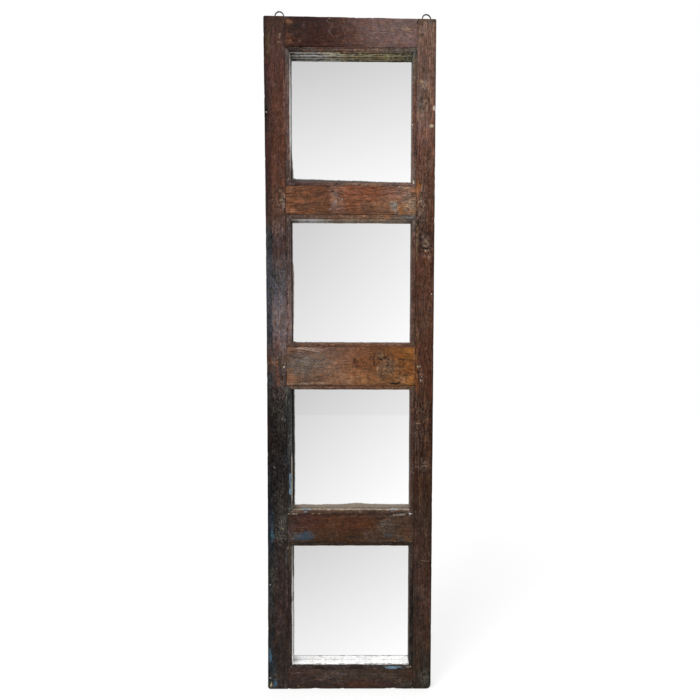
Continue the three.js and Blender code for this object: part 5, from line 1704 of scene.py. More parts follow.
# Marks on the slopes, as on the boards: x, z, half width, half height, hue and strength
TRIM_FLAKES = {
    (1, "left"): [
        (-165, 818, 5, 12, "silver", 0.5), (-164, 800, 4, 10, "mauve", 0.4),
        (-160, 790, 4, 8, "olive", 0.45), (-163, 700, 4, 60, "mauve", 0.34),
        (-161, 610, 3, 40, "silver", 0.32), (-162, 492, 4, 8, "sand", 0.45),
    ],
    (1, "right"): [
        (168, 824, 6, 8, "teal", 0.5), (170, 806, 4, 10, "olive", 0.5), (166, 788, 1.8, 3, "silver", 0.6),
        (165, 637, 1.6, 2.4, "chalk", 0.7), (169, 484, 4, 8, "bone", 0.45), (168, 700, 4, 60, "mauve", 0.3),
    ],
    (1, "top"): [
        (-152, 824, 16, 6, "soot", 0.5), (-110, 820, 24, 1.5, "silver", 0.34),
        (-9, 823, 2, 2, "chalk", 1.0), (88, 822, 2, 2, "silver", 0.9), (-60, 823, 2, 1.6, "silver", 0.7),
        (120, 824, 40, 4, "silver", 0.32), (30, 826, 40, 3, "mauve", 0.32),
    ],
    (1, "bottom"): [(-120, 482, 30, 4, "plum", 0.45), (60, 482, 90, 3, "sand", 0.34)],
    (2, "left"): [
        (-164, 380, 4, 10, "soot", 0.5), (-163, 160, 4, 70, "mauve", 0.38),
        (-161, 120, 3, 30, "rose", 0.36),
    ],
    (2, "right"): [
        (170, 390, 5, 8, "teal", 0.45), (169, 240, 4, 80, "mauve", 0.3), (171, 65, 4, 9, "sand", 0.4),
    ],
    (2, "top"): [
        (150, 395, 24, 5, "teal", 0.5), (-120, 393, 30, 3, "grey", 0.38), (70, 395, 30, 3, "orange", 0.34),
    ],
    (2, "bottom"): [(30, 57, 60, 3, "peach", 0.32), (-110, 58, 30, 3, "rose", 0.34)],
    (3, "left"): [
        (-164, -80, 4, 12, "pitch", 0.5), (-164, -200, 3, 60, "silver", 0.32),
        (-163, -388, 6, 7, "bone", 0.5), (-160, -160, 3, 50, "moss", 0.4),
    ],
    (3, "right"): [
        (169, -62, 5, 8, "sand", 0.45), (172, -178, 2, 24, "mauve", 0.45), (168, -300, 3, 60, "mauve", 0.3),
    ],
    (3, "top"): [(-100, -58, 50, 3, "rose", 0.36), (90, -57, 40, 3, "peach", 0.3)],
    (3, "bottom"): [
        (-158, -401, 10, 3, "tan", 0.4), (-85, -402, 26, 2.2, "sand", 0.45),
        (78, -402, 24, 2.2, "sand", 0.4), (140, -402, 22, 2.2, "silver", 0.5),
        (166, -402, 4.5, 3.5, "white", 1.3), (-120, -396, 15, 2.5, "sky", 0.5),
        (118, -396, 13, 2.5, "sky", 0.5),
    ],
    (4, "left"): [
        (-167, -505, 3, 20, "cream", 0.45), (-166, -520, 2.5, 30, "moss", 0.5),
        (-164, -770, 4, 40, "slate", 0.34),
    ],
    (4, "right"): [
        (168, -800, 5, 26, "teal", 0.42), (168, -831, 6, 4, "cream", 0.6), (169, -600, 3, 60, "slate", 0.3),
    ],
    (4, "top"): [(60, -487, 60, 3, "slate", 0.34), (-140, -486, 20, 3, "grey", 0.34)],
    (4, "bottom"): [
        (121, -834, 26, 4.5, "sky", 0.85), (161, -832, 11, 4, "cream", 0.5), (70, -835, 10, 3, "sand", 0.5),
        (-158, -831, 10, 4, "sand", 0.42), (-40, -834, 110, 1.2, "grey", 0.4),
    ],
}

# Smears of paint on the mouldings, as on the boards
TRIM_DAUBS = {
    (1, "left"): [
        (((-168, 770), (-169, 690), (-168, 620)), 1.4, "rose", 0.6),
        (((-168, 560), (-167, 505)), 1.6, "silver", 0.5), (((-158, 556), (-158, 536)), 1.2, "bone", 0.6),
    ],
    (1, "top"): [(((177, 832), (160, 815)), 1.1, "pitch", 0.7)],
    (1, "right"): [
        (((177, 832), (160, 815)), 1.1, "pitch", 0.7),
        (((166, 520), (170, 500), (167, 478)), 1.8, "bone", 0.55),
        (((172, 512), (173, 484)), 1.3, "silver", 0.5),
    ],
    (2, "left"): [
        (((-165, 370), (-166, 250), (-165, 90)), 1.6, "umber", 0.7),
        (((-160, 250), (-160, 120)), 1.6, "rose", 0.6), (((-169, 200), (-168, 80)), 1.3, "mauve", 0.6),
    ],
    (3, "left"): [
        (((-155.5, -238), (-155.5, -300), (-155, -376)), 1.5, "bone", 0.95),
        (((-168, -54), (-168, -72)), 1.1, "silver", 0.8),
        (((-161, -292), (-161, -322), (-160.5, -350)), 3.6, "sky", 0.8),
        (((-151, -66), (-151, -140), (-151, -232)), 2.0, "pitch", 0.7),
        (((-160, -90), (-160, -220)), 1.3, "silver", 0.5), (((-166, -110), (-165, -200)), 1.4, "grey", 0.5),
    ],
    (3, "bottom"): [
        (((-168, -403), (-142, -403)), 2.6, "bone", 0.95), (((-108, -401), (-70, -402)), 2.0, "sand", 0.62),
        (((82, -402), (96, -402)), 1.8, "silver", 0.5), (((128, -402), (167, -401)), 2.0, "silver", 0.62),
    ],
    (4, "left"): [
        (((-168, -492), (-169, -520)), 1.6, "cream", 0.6),
        (((-163, -500), (-162, -540)), 1.6, "russet", 0.55),
    ],
}

# Paint left on the reveals: place along the strip, half length, hue and strength
REVEAL_FLAKES = {
    (1, "left"): [(672, 76, "white", 1.1), (560, 40, "silver", 0.45)],
    (1, "top"): [(-110, 24, "chalk", 0.45), (130, 34, "khaki", 0.45)],
    (2, "top"): [(-112, 30, "white", 0.6), (60, 50, "tan", 0.36)],
    (2, "left"): [(120, 50, "rose", 0.36)],
    (3, "left"): [(-308, 72, "bone", 0.66)],
    (3, "bottom"): [(-120, 18, "sky", 0.5), (118, 16, "sky", 0.5), (0, 160, "cream", 0.4)],
    (4, "left"): [(-610, 20, "white", 1.0), (-752, 96, "white", 1.2), (-520, 30, "bone", 0.4)],
    (4, "bottom"): [(0, 260, "white", 1.2)],
}

# Lines along the reveals: their ends, depth behind the front, half width, hue and strength
REVEAL_LINES = {
    (1, "top"): [
        (-172, -50, 13, 2.6, "pitch", 0.75), (-134, -40, 8, 2.2, "bone", 0.5),
        (-110, -20, 19, 2.6, "white", 0.5), (-30, 172, 8, 3.6, "chocolate", 0.75),
        (-44, 172, 16, 1.4, "umber", 0.6), (-172, -140, 7, 4.0, "soot", 0.5),
    ],
    (2, "top"): [(-60, 172, 12, 2.0, "umber", 0.4)],
    (3, "bottom"): [(-172, 172, 21.5, 2.2, "umber", 0.6), (-172, 172, 14, 1.2, "taupe", 0.3)],
    (4, "bottom"): [(-172, 172, 6.2, 1.5, "umber", 0.85)],
}

# The reveals whose paint meets the glass without dirt and without painted shade at their foot
CLEAN_FEET = {(4, "bottom"), (4, "left")}

# Grey of each pane at its upper left, upper right, lower left and lower right corner: silvering, graded as a
# painted reflection
SILVERING_AND_REFLECTION = {
    1: (198, 213, 243, 253),
    2: (205, 231, 231, 253),
    3: (202, 226, 231, 253),
    4: (200, 222, 240, 254),
}

# A dull band along a pane's foot, where the silver gives way to a plain colour: stops of x and height, and
# its colour. On pane 3 it is a painted reflection of the bottom reveal
FOOT_BANDS = {
    1: (
        [(-160, 15), (-130, 14.5), (-90, 14), (-50, 12.5), (-10, 11.5), (30, 11), (70, 9), (110, 8),
         (165, 7.4)],
        (72, 62, 58),
    ),
    2: ([(-160, 2.2), (165, 2.2)], (96, 82, 74)),
    3: (
        [(-150, 8), (-118, 9.5), (-92, 8), (-60, 9.5), (-30, 9), (0, 12), (24, 14), (46, 10.5), (80, 10.5),
         (110, 9.5), (165, 10)],
        (142, 130, 118),
    ),
    4: ([(-160, -9), (165, -9)], (96, 92, 88)),
}

# A painted reflection of the left reveal along a pane's left edge: stops of height and width, and the
# reveal's colour painted there
REVEAL_REFLECTIONS = {
    1: ([(800, 0.4), (570, 0.8), (545, 3.5), (520, 5.5), (480, 5.5)], (112, 100, 94)),
    2: (
        [(385, 2.5), (330, 3.0), (285, 3.4), (250, 6.2), (170, 5.8), (110, 4.4), (62, 3.6)],
        (120, 104, 100),
    ),
    3: ([(-62, 6.2), (-240, 6.8), (-340, 6.2), (-382, 5.0)], (60, 58, 54)),
    4: ([(-488, 2.4), (-580, 2.4), (-600, 0.6), (-828, 0.3)], (112, 102, 96)),
}

# What a distance of 1 mm is stored as in a pane's colour attribute
EDGE_UNIT = 0.01


def moulding_width(number):
    return node_box(f"moulding_{number}_left")[1][0] - left_inner


def paint_moulding(piece, number, side):
    points = points_of(piece)
    key = number, side
    left, right, bottom, top = opening_bounds(number)
    along = points[:, 2] if side in UPRIGHT_SIDES else points[:, 0]
    inward = {"left": points[:, 0] - left, "right": right - points[:, 0],
              "bottom": points[:, 2] - bottom, "top": top - points[:, 2]}[side]
    seed = SEEDS["moulding_paint"] + 40 * (10 * number + SIDES.index(side))
    width = moulding_width(number)
    front, back = (corner[1] for corner in node_box(f"moulding_{number}_left"))
    depth = points[:, 1] - front
    wander = along + 9 * fractal(points, 7, seed, 4)
    slope, reveal = (colour_along(wander, stops) for stops in TRIM[key])
    on_reveal = smooth(inward, width - 1.6, width - 0.6) * smooth(depth, 3.9, 5.5)
    unseen = smooth(inward, 1.6, 0.6) * smooth(depth, 0.6, 2)
    unseen = np.maximum(unseen, smooth(points[:, 1], back - 1, back - 0.2))
    ground = blended(blended(slope, reveal, on_reveal), linear(BACK_TONE), unseen)
    # Darkening in the quirk, along the seat and at the foot where the reveal meets the glass: dirt and
    # painted shade of these recesses
    quirk = bell(inward - FILLET_WIDTH - 0.3, 0.8) * smooth(depth, 5, 2)
    seat = bell(inward - CLEARANCE, 0.9)
    foot = bell(points[:, 1] - back, 2.2)
    broken = smooth(fractal(points, 9, seed + 4, 3), -0.6, 0.4)
    foot_darkening = 0.0 if key in CLEAN_FEET else 0.4
    grime_and_shade = np.clip((0.5 * quirk + 0.28 * seat + foot_darkening * foot) * (0.35 + 0.65 * broken), 0, 1)
    corner = bell(np.hypot(inward - width, depth - SLOPE_DEPTH), 1.6)
    worn = corner * smooth(fractal(points, 11, seed + 5, 3), -0.5, 0.4)
    soiled = 1 - (on_reveal if key in CLEAN_FEET else 0.0)
    specks, net = (strength * smooth(fractal(points, 26, seed + shift, 4), -0.5, 0.5) * soiled
                   for strength, shift in ((0.75, 6), (0.8, 7)))
    marks = {"flakes": TRIM_FLAKES.get(key, ()), "daubs": TRIM_DAUBS.get(key, ())}
    paint(piece, ground, marks, worn, grime_and_shade, specks, net, seed)
    paint_reveal(piece, key, along, depth, on_reveal, seed + 9)


def paint_reveal(piece, key, along, depth, on_reveal, seed):
    """Lays the reveal's own paint over the coat that is there"""
    attribute = piece.data.attributes["coat"]
    values = np.empty(4 * len(along))
    attribute.data.foreach_get("color", values)
    values = values.reshape(-1, 4)
    for place, half, hue, strength in REVEAL_FLAKES.get(key, ()):
        weight = strength * on_reveal * smooth(np.abs(along - place), 1.3 * half, 0.7 * half)
        over = weight > values[:, 3]
        values[over, :3] = linear(HUES[hue])
        values[:, 3] = np.maximum(values[:, 3], weight)
    sway = 1.2 * line_noise(along, 22, seed)
    for start, end, place, half, hue, strength in REVEAL_LINES.get(key, ()):
        weight = strength * on_reveal * smooth(np.abs(depth + sway - place), 1.4 * half, 0.6 * half)
        weight *= smooth(along, start - 4, start + 8) * smooth(along, end + 4, end - 8)
        over = weight > 0.6 * values[:, 3]
        values[over, :3] = linear(HUES[hue])
        values[over, 3] = np.maximum(values[over, 3], weight[over])
    attribute.data.foreach_set("color", values.ravel())


def paint_plain(piece, tone, variation, seed, size=30):
    """One tone with soft changes, for the pieces that were never painted"""
    points = points_of(piece)
    ground = linear(tone) * (1 + variation * fractal(points, size, seed, 3))[:, None]
    low, high = points.min(0), points.max(0)
    gaps = np.sort(np.minimum(points - low, high - points), axis=1)
    worn = bell(gaps[:, 1], 1.2) * smooth(fractal(points, 8, seed + 2, 3), -0.2, 0.5)
    specks = 0.3 * smooth(fractal(points, 30, seed + 3, 3), -0.2, 0.6)
    nothing = np.zeros(len(points))
    paint(piece, ground, {}, worn, nothing, specks, nothing, seed)


def paint_pane(piece, number):
    """Grey of the silvering across a pane, graded as a painted reflection, and the painted reflection of the
    reveal along its left edge and the dull band along its foot
    """
    points = points_of(piece)
    x, y, z = points.T
    low, high = points.min(0), points.max(0)
    across = (x - low[0]) / (high[0] - low[0])
    down = (high[2] - z) / (high[2] - low[2])
    corners = [linear((grey, grey, grey)) for grey in SILVERING_AND_REFLECTION[number]]
    ground = blended(blended(*corners[:2], across), blended(*corners[2:], across), down)
    store(piece, "ground", ground, 1 - smooth(y, (low[1] + high[1]) / 2, high[1]))
    edge = moulding_width(number)
    widths, tone = REVEAL_REFLECTIONS[number]
    # Distance in from the painted reflection of the left reveal
    inward = x - left_inner - edge - value_along(z, widths)
    heights, foot_tone = FOOT_BANDS[number]
    # Height above the dull band at the foot, which on pane 3 is a painted reflection of the bottom reveal
    above = z - opening_bounds(number)[2] - edge - value_along(x, heights)
    on_foot = (above < inward) * 1.0
    tones = blended(linear(tone), linear(foot_tone), on_foot)
    store(piece, "coat", tones, np.minimum(inward, above) * EDGE_UNIT)
    store(piece, "state", np.repeat(on_foot[:, None], 3, axis=1), np.zeros(len(points)))


# Materials

# Spacing of the growth rings, spacing of the mesh that marks the hardboard, and size of the scratches
RING_SPACING = 4.6
MESH_SPACING = 1.9
SCRATCH_SIZE = (46, 7, 2.2)


class Nodes:
    """The nodes of a material or the world under construction. Each method adds some and gives back an
    output."""

    def __init__(self, holder):
        holder.use_nodes = True
        self.tree = holder.node_tree
        self.tree.nodes.clear()

    def add(self, kind, inputs, **settings):
        node = self.tree.nodes.new("ShaderNode" + kind)
        for key, value in settings.items():
            setattr(node, key, value)
        for key, value in inputs.items():
            self.feed(node.inputs[key], value)
        return node

    def feed(self, socket, value):
        if isinstance(value, bpy.types.NodeSocket):
            self.tree.links.new(value, socket)
        else:
            socket.default_value = value

    def maths(self, operation, first, second=0.0, third=0.0, clamp=False):
        node = self.add("Math", {0: first, 1: second, 2: third}, operation=operation, use_clamp=clamp)
        return node.outputs["Value"]

    def seen_directly(self):
        """1 for camera, glossy and transmission rays, and 0 for the rays that carry diffuse light"""
        path = self.add("LightPath", {})
        share = path.outputs["Is Camera Ray"]
        for name in ("Is Glossy Ray", "Is Transmission Ray"):
            share = self.maths("MAXIMUM", share, path.outputs[name])
        return share


class Look(Nodes):
    """A material round one Principled shader"""

    def __init__(self, name):
        self.material = bpy.data.materials.new(name)
        super().__init__(self.material)
        self.shader = self.add("BsdfPrincipled", {})
        self.add("OutputMaterial", {"Surface": self.shader.outputs["BSDF"]})

    def finish(self, **inputs):
        for key, value in inputs.items():
            self.feed(self.shader.inputs[key.replace("_", " ")], value)
        return self.material

    def millimetres(self, shift=(0, 0, 0)):
        place = self.add("TexCoord", {}).outputs["Object"]
        node = self.add("VectorMath", {0: place, 1: (1 / MM,) * 3, 2: shift}, operation="MULTIPLY_ADD")
        return node.outputs["Vector"]

    def times(self, first, second, clamp=False):
        return self.maths("MULTIPLY", first, second, clamp=clamp)

    def total(self, start, *terms, clamp=False):
        """The start plus each term's value times its factor. A clamp holds for the last sum."""
        for index, (value, factor) in enumerate(terms):
            last = index == len(terms) - 1
            start = self.maths("MULTIPLY_ADD", value, factor, start, clamp and last)
        return start

    def vector(self, operation, first, second):
        return self.add("VectorMath", {0: first, 1: second}, operation=operation).outputs["Vector"]

    def scaled(self, colour, factor):
        node = self.add("VectorMath", {0: colour, "Scale": factor}, operation="SCALE")
        return node.outputs["Vector"]

    def noise(self, place, size, detail=2.0, roughness=0.5, distortion=0.0, shift=None):
        """Noise from about -1 to 1 whose features have the given size or sizes"""
        if shift:
            place = self.vector("ADD", place, shift)
        spot = self.vector("DIVIDE", place, size if isinstance(size, tuple) else (size,) * 3)
        inputs = {"Vector": spot, "Scale": 1.0, "Detail": detail, "Roughness": roughness,
                  "Distortion": distortion}
        value = self.add("TexNoise", inputs).outputs["Fac"]
        return self.maths("MULTIPLY_ADD", value, 4.0, -2.0)

    def window(self, value, low, high, to_low=0.0, to_high=1.0):
        inputs = {"Value": value, "From Min": low, "From Max": high, "To Min": to_low, "To Max": to_high}
        return self.add("MapRange", inputs, interpolation_type="SMOOTHSTEP").outputs["Result"]

    def lines(self, noise, outer, inner):
        """Thin lines where the noise passes through 0"""
        return self.window(self.maths("ABSOLUTE", noise), outer, inner)

    def mixed(self, share, first, second):
        node = self.add("Mix", {0: share, 6: first, 7: second}, data_type="RGBA", blend_type="MIX")
        return node.outputs[2]

    def attribute(self, name, output="Color"):
        return self.add("Attribute", {}, attribute_name=name).outputs[output]

    def parts(self, colour):
        node = self.add("SeparateColor", {"Color": colour})
        return [node.outputs[k] for k in range(3)]

    def bumped(self, height):
        inputs = {"Height": height, "Distance": MM, "Strength": 1.0}
        return self.add("Bump", inputs).outputs["Normal"]


def opaque(colour):
    return (*linear(colour), 1.0)


def wood_look(name, axis, heart, shift, figure, streaks, mottling, roughness):
    """Old wood under worn paint. The heart is the line that the growth rings go round, in the two directions
    across the grain."""
    def grain(across, along):
        return tuple(along if k == axis else across for k in range(3))

    look = Look(name)
    swirl = look.scaled(look.attribute("swirl"), 1 / SWIRL_UNIT)
    raw = look.vector("ADD", look.millimetres(), swirl)
    place = look.vector("ADD", look.millimetres(shift), swirl)
    ground = look.attribute("ground")
    worn, grime_and_shade, specks = look.parts(look.attribute("state"))
    net = look.attribute("state", "Alpha")
    across = grain(1.0, 0.0)

    sway = look.noise(place, grain(24, 60))
    waved = look.vector("ADD", place, look.scaled(across, look.times(sway, 4.5)))

    bend = look.noise(place, grain(55, 170))
    flow = look.noise(place, grain(12, 60))
    reach = look.vector("MULTIPLY", look.vector("SUBTRACT", raw, heart), across)
    radius = look.add("VectorMath", {0: reach}, operation="LENGTH").outputs["Value"]
    radius = look.total(radius, (bend, 9.0), (flow, 1.8))
    ring = look.maths("SINE", look.times(radius, 2 * math.pi / RING_SPACING))
    ring = look.window(ring, -0.6, 0.95, -0.6, 1.0)
    ring = look.times(ring, look.window(look.noise(place, grain(26, 70)), -0.7, 0.6, 0.25, 1.0))

    broad = look.noise(waved, grain(13, 150), 3.0, 0.55)
    streak = look.noise(waved, grain(4.2, 56), 3.0, 0.62)
    fibre = look.noise(waved, grain(1.5, 20), 3.0, 0.68)
    mottle = look.noise(place, 15, 6.0, 0.62, 0.9)
    clump = look.noise(waved, grain(4.4, 8.5), 4.0, 0.66, 0.8)
    grit = look.noise(waved, grain(2.3, 3.6), 2.0, 0.6, shift=(17.0, 143.0, 61.0))
    pores = look.window(look.noise(waved, grain(0.5, 5.0), 1.0), 0.75, 1.25)

    tone = look.total(-0.06, (broad, 0.16 * streaks), (streak, 0.38 * streaks), (fibre, 0.29 * streaks),
                      (mottle, 0.34 * mottling), (clump, 0.42 * mottling), (grit, 0.26 * mottling),
                      (ring, -0.34 * figure), (pores, -0.35))
    colour = look.scaled(ground, look.maths("EXPONENT", tone))

    warm = look.noise(place, grain(8, 24), 4.0, 0.62, shift=(311.0, 87.0, 53.0))
    hue = look.mixed(look.window(warm, -0.9, 0.9), (0.88, 1.0, 1.16, 1.0), (1.13, 0.99, 0.84, 1.0))
    colour = look.vector("MULTIPLY", colour, hue)

    worm = look.noise(waved, grain(5.6, 10.5), 3.0, 0.55, 0.9, shift=(71.0, 19.0, 133.0))
    worm = look.times(look.lines(worm, 0.24, 0.05), look.window(clump, 0.6, -0.5))
    worm = look.times(worm, net)
    colour = look.mixed(look.times(worm, 0.9, clamp=True), colour, look.scaled(colour, 0.18))

    vein = look.noise(waved, grain(5.4, 17), 3.0, 0.55, 0.7, shift=(171.0, 219.0, 33.0))
    speckled = look.maths("ADD", specks, look.times(mottle, 0.25))
    vein = look.times(look.lines(vein, 0.2, 0.05), look.window(speckled, 0.1, 0.95))
    lit = look.vector("ADD", look.scaled(colour, 1.35), (0.055, 0.047, 0.039))
    colour = look.mixed(look.times(vein, 0.78, clamp=True), colour, lit)

    dust = look.noise(waved, grain(3.4, 6.5), 3.0, 0.66, 0.6, shift=(207.0, 91.0, 33.0))
    pale = look.window(look.total(dust, (specks, 0.95)), 1.08, 1.34)
    faded = look.vector("ADD", look.scaled(colour, 1.4), (0.10, 0.088, 0.075))
    share = look.times(pale, look.total(0.25, (specks, 0.5)), clamp=True)
    colour = look.mixed(share, colour, faded)

    scratch = look.noise(place, SCRATCH_SIZE, 2.0, 0.5, 1.2, shift=(9.0, 401.0, 77.0))
    scratched = look.window(look.noise(place, 50), 0.45, 0.8)
    scratch = look.times(look.lines(scratch, 0.035, 0.0), scratched)
    colour = look.mixed(look.times(scratch, 0.3), colour, look.scaled(colour, 2.0))

    rubbed = look.noise(place, grain(3, 9), 3.0, 0.7)
    rub = look.window(look.total(worn, (rubbed, 0.4)), 0.5, 0.85)
    bare = look.vector("ADD", look.scaled(colour, 1.4), (0.02, 0.014, 0.009))
    colour = look.mixed(look.times(rub, 0.7), colour, bare)

    cover = look.attribute("coat", "Alpha")
    edge = look.noise(place, 7.5, 6.0, 0.68, shift=(27.0, 333.0, 5.0))
    drag = look.noise(waved, grain(2.2, 13), 3.0, 0.6, shift=(87.0, 3.0, 205.0))
    film = look.window(look.total(cover, (edge, 0.3), (drag, 0.26)), 0.46, 0.58)
    film = look.times(film, look.window(cover, 0.03, 0.14))
    cell = look.vector("DIVIDE", look.vector("ADD", waved, (3.0, 8.0, 5.0)), grain(3.6, 5.4))
    cells = look.add("TexVoronoi", {"Vector": cell, "Scale": 1.0}, feature="DISTANCE_TO_EDGE")
    crazed = look.window(cells.outputs["Distance"], 0.07, 0.015)
    film_tone = look.total(-0.02, (mottle, 0.22), (clump, 0.2), (fibre, 0.1), (crazed, -0.5))
    coat = look.scaled(look.attribute("coat"), look.maths("EXPONENT", film_tone))
    colour = look.mixed(look.times(film, 0.88), colour, coat)

    crack = look.noise(waved, grain(6.0, 130), shift=(505.0, 71.0, 18.0))
    cracked = look.window(look.noise(place, grain(22, 90), 1.0), 0.15, 0.6)
    crack = look.times(look.lines(crack, 0.05, 0.012), cracked)
    colour = look.mixed(look.times(crack, 0.8), colour, opaque((16, 13, 13)))

    # Darkened where the state's second channel says: dirt, and painted shade on arrises, outer faces and
    # recesses
    soil_and_shade = look.times(grime_and_shade, look.window(look.noise(place, 5, 4.0, 0.65), -1.1, 0.6, 0.2, 1.0))
    colour = look.mixed(soil_and_shade, colour, opaque((22, 19, 19)))

    matt = look.total(roughness, (streak, 0.06), (film, 0.1), (rub, 0.12), (mottle, 0.05), clamp=True)
    height = look.total(look.times(fibre, 0.03), (streak, 0.06), (ring, -0.06 * figure), (pores, -0.08),
                        (clump, 0.07), (worm, -0.14), (film, 0.14), (look.times(film, crazed), -0.1),
                        (crack, -0.5), (scratch, -0.05))
    return look.finish(Base_Color=colour, Roughness=matt, Normal=look.bumped(height),
                       Specular_IOR_Level=0.12, IOR=1.3)


def pane_look():
    """Silvered glass, with the dull paint that guards the silver on its back"""
    look = Look("silvered_glass")
    place = look.millimetres()
    front = look.window(look.attribute("ground", "Alpha"), 0.45, 0.55)
    paint_tone = look.total(1.0, (look.noise(place, 14, 4.0, 0.6), 0.12))
    guard = look.scaled(tuple(linear((104, 88, 78))), paint_tone)
    # Distance into the pane from the painted reflection of the reveal at its left edge and from the foot
    # band, whichever is less
    inward = look.times(look.attribute("coat", "Alpha"), 1 / EDGE_UNIT)
    inward = look.total(inward, (look.noise(place, (8, 8, 16), 5.0, 0.65), 0.9))
    edge_band = look.window(inward, 1.6, -1.4)
    edge_and_foot_tones = look.scaled(look.attribute("coat"), paint_tone)
    # The silvering from the ground attribute is graded as a painted reflection; the edge and foot tones hold
    # the painted reflection of the reveal and the foot band
    silver = look.mixed(edge_band, look.attribute("ground"), edge_and_foot_tones)
    colour = look.mixed(front, guard, silver)
    # The foot band is not silvered
    in_foot_band = look.times(edge_band, look.parts(look.attribute("state"))[0])
    matt = look.window(look.noise(place, 60, 5.0, 0.6), -1.2, 1.4, 0.012, 0.03)
    matt = look.total(matt, (edge_band, 0.12), (in_foot_band, 0.4), (look.maths("SUBTRACT", 1.0, front), 0.55))
    silvered = look.times(front, look.maths("SUBTRACT", 1.0, in_foot_band))
    return look.finish(Base_Color=colour, Metallic=silvered, Roughness=matt, IOR=1.45)


def hardboard_look():
    """Pressed fibre, smooth in front, with the print of the press's wire mesh behind"""
    look = Look("hardboard")
    place = look.millimetres()
    fibre = look.noise(place, 1.6, 4.0, 0.7, 1.5)
    cloud = look.noise(place, 45, 3.0, 0.55)
    damp = look.window(look.noise(place, (110, 60, 80), 4.0, 0.6), 0.25, 0.9)
    across, _, up = look.parts(place)
    waves = [look.maths("SINE", look.times(way, 2 * math.pi / MESH_SPACING)) for way in (across, up)]
    weave = look.times(*waves)
    tone = look.total(1.0, (fibre, 0.12), (cloud, 0.08), (weave, 0.07))
    colour = look.scaled(look.attribute("ground"), tone)
    colour = look.mixed(look.times(damp, 0.35), colour, opaque((92, 68, 50)))
    height = look.total(look.times(fibre, 0.05), (weave, 0.08))
    matt = look.total(0.78, (fibre, 0.05), clamp=True)
    return look.finish(Base_Color=colour, Roughness=matt, Normal=look.bumped(height), IOR=1.3)


def iron_look(name, tone, rust, roughness):
    """Dulled iron with rust in its low places"""
    look = Look(name)
    place = look.millimetres()
    grain = look.noise(place, 0.7, 3.0, 0.6)
    patch = look.noise(place, 4.5, 4.0, 0.65)
    rusted = look.window(patch, 1.1 - 1.6 * rust, 1.5 - 1.6 * rust)
    cloud = look.total(1.0, (patch, 0.14))
    bright = look.scaled(tuple(linear(tone)), look.total(cloud, (grain, 0.1)))
    brown = look.scaled(tuple(linear((84, 52, 38))), cloud)
    colour = look.mixed(rusted, bright, brown)
    metal = look.window(rusted, 0.2, 0.8, 0.95, 0.1)
    matt = look.total(roughness, (rusted, 0.35), (patch, 0.06), clamp=True)
    height = look.bumped(look.total(look.times(grain, 0.02), (rusted, 0.05)))
    return look.finish(Base_Color=colour, Metallic=metal, Roughness=matt, Normal=height, IOR=1.4)


# Finish of each wood: axis of the grain, heart of the log, shift of the pattern, then the strength of the
# figure, the streaks and the mottling, and the roughness
WOODS = {
    "left_stile": (2, (-262, 18, 0), (120, 40, 310), 0.5, 0.95, 1.35, 0.6),
    "right_stile": (2, (248, 22, 0), (520, 140, 90), 1.0, 1.15, 0.95, 0.55),
    "top_rail": (0, (0, -8, 936), (60, 330, 20), 0.35, 0.65, 1.0, 0.6),
    "upper_rail": (0, (0, -26, 442), (810, 60, 440), 1.0, 0.85, 0.95, 0.5),
    "middle_rail": (0, (0, -18, -34), (230, 500, 610), 0.6, 0.5, 1.1, 0.5),
    "lower_rail": (0, (0, -8, -404), (440, 260, 150), 0.45, 0.75, 1.1, 0.58),
    "bottom_rail": (0, (0, -8, -912), (90, 80, 720), 0.35, 0.75, 1.0, 0.6),
    "upright_moulding": (2, (0, 60, 0), (640, 20, 70), 0.2, 1.2, 1.3, 0.6),
    "level_moulding": (0, (0, 60, 0), (35, 610, 250), 0.2, 1.2, 1.3, 0.6),
    "upright_bead": (2, (0, 90, 0), (11, 22, 33), 0.5, 0.6, 0.5, 0.7),
    "level_bead": (0, (0, 90, 0), (44, 55, 66), 0.5, 0.6, 0.5, 0.7),
    "peg": (1, (40, 0, 30), (5, 6, 7), 1.0, 0.6, 0.8, 0.6),
}


def make_looks():
    looks = {name: wood_look(name + "_wood", *finish) for name, finish in WOODS.items()}
    looks["pane"] = pane_look()
    looks["hardboard"] = hardboard_look()
    looks["wire"] = iron_look("dull_wire", (84, 80, 76), 0.2, 0.42)
    looks["nail"] = iron_look("old_nails", (112, 104, 98), 0.55, 0.45)
    return looks


# The whole leaf

PEG_TONES = {
    "peg_top_left": (118, 92, 76), "peg_top_right": (88, 68, 58), "peg_upper_left": (120, 104, 84),
    "peg_upper_right": (150, 130, 112), "peg_middle_left": (92, 72, 62), "peg_middle_right": (140, 116, 92),
    "peg_lower_left": (112, 104, 86), "peg_lower_right": (74, 56, 46), "peg_bottom_left": (60, 50, 46),
    "peg_bottom_right": (56, 46, 40),
}
BEAD_TONE = (118, 90, 64)
BACKING_TONE = (124, 98, 72)

# Where the nails' heads lie, inward from a side and in y, and how far they lean outward and point back
BRADS = {"moulding_nails": (6.6, front_y + 3.4, 0.55, 0.84), "bead_nails": (5.0, -0.8, 0.5, -0.87)}


def dress(node, piece, look):
    """Gives a piece its material, its body and the node that it stands for"""
    piece.data.materials.clear()
    piece.data.materials.append(look)
    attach(piece, BODY)
    if node:
        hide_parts(node)


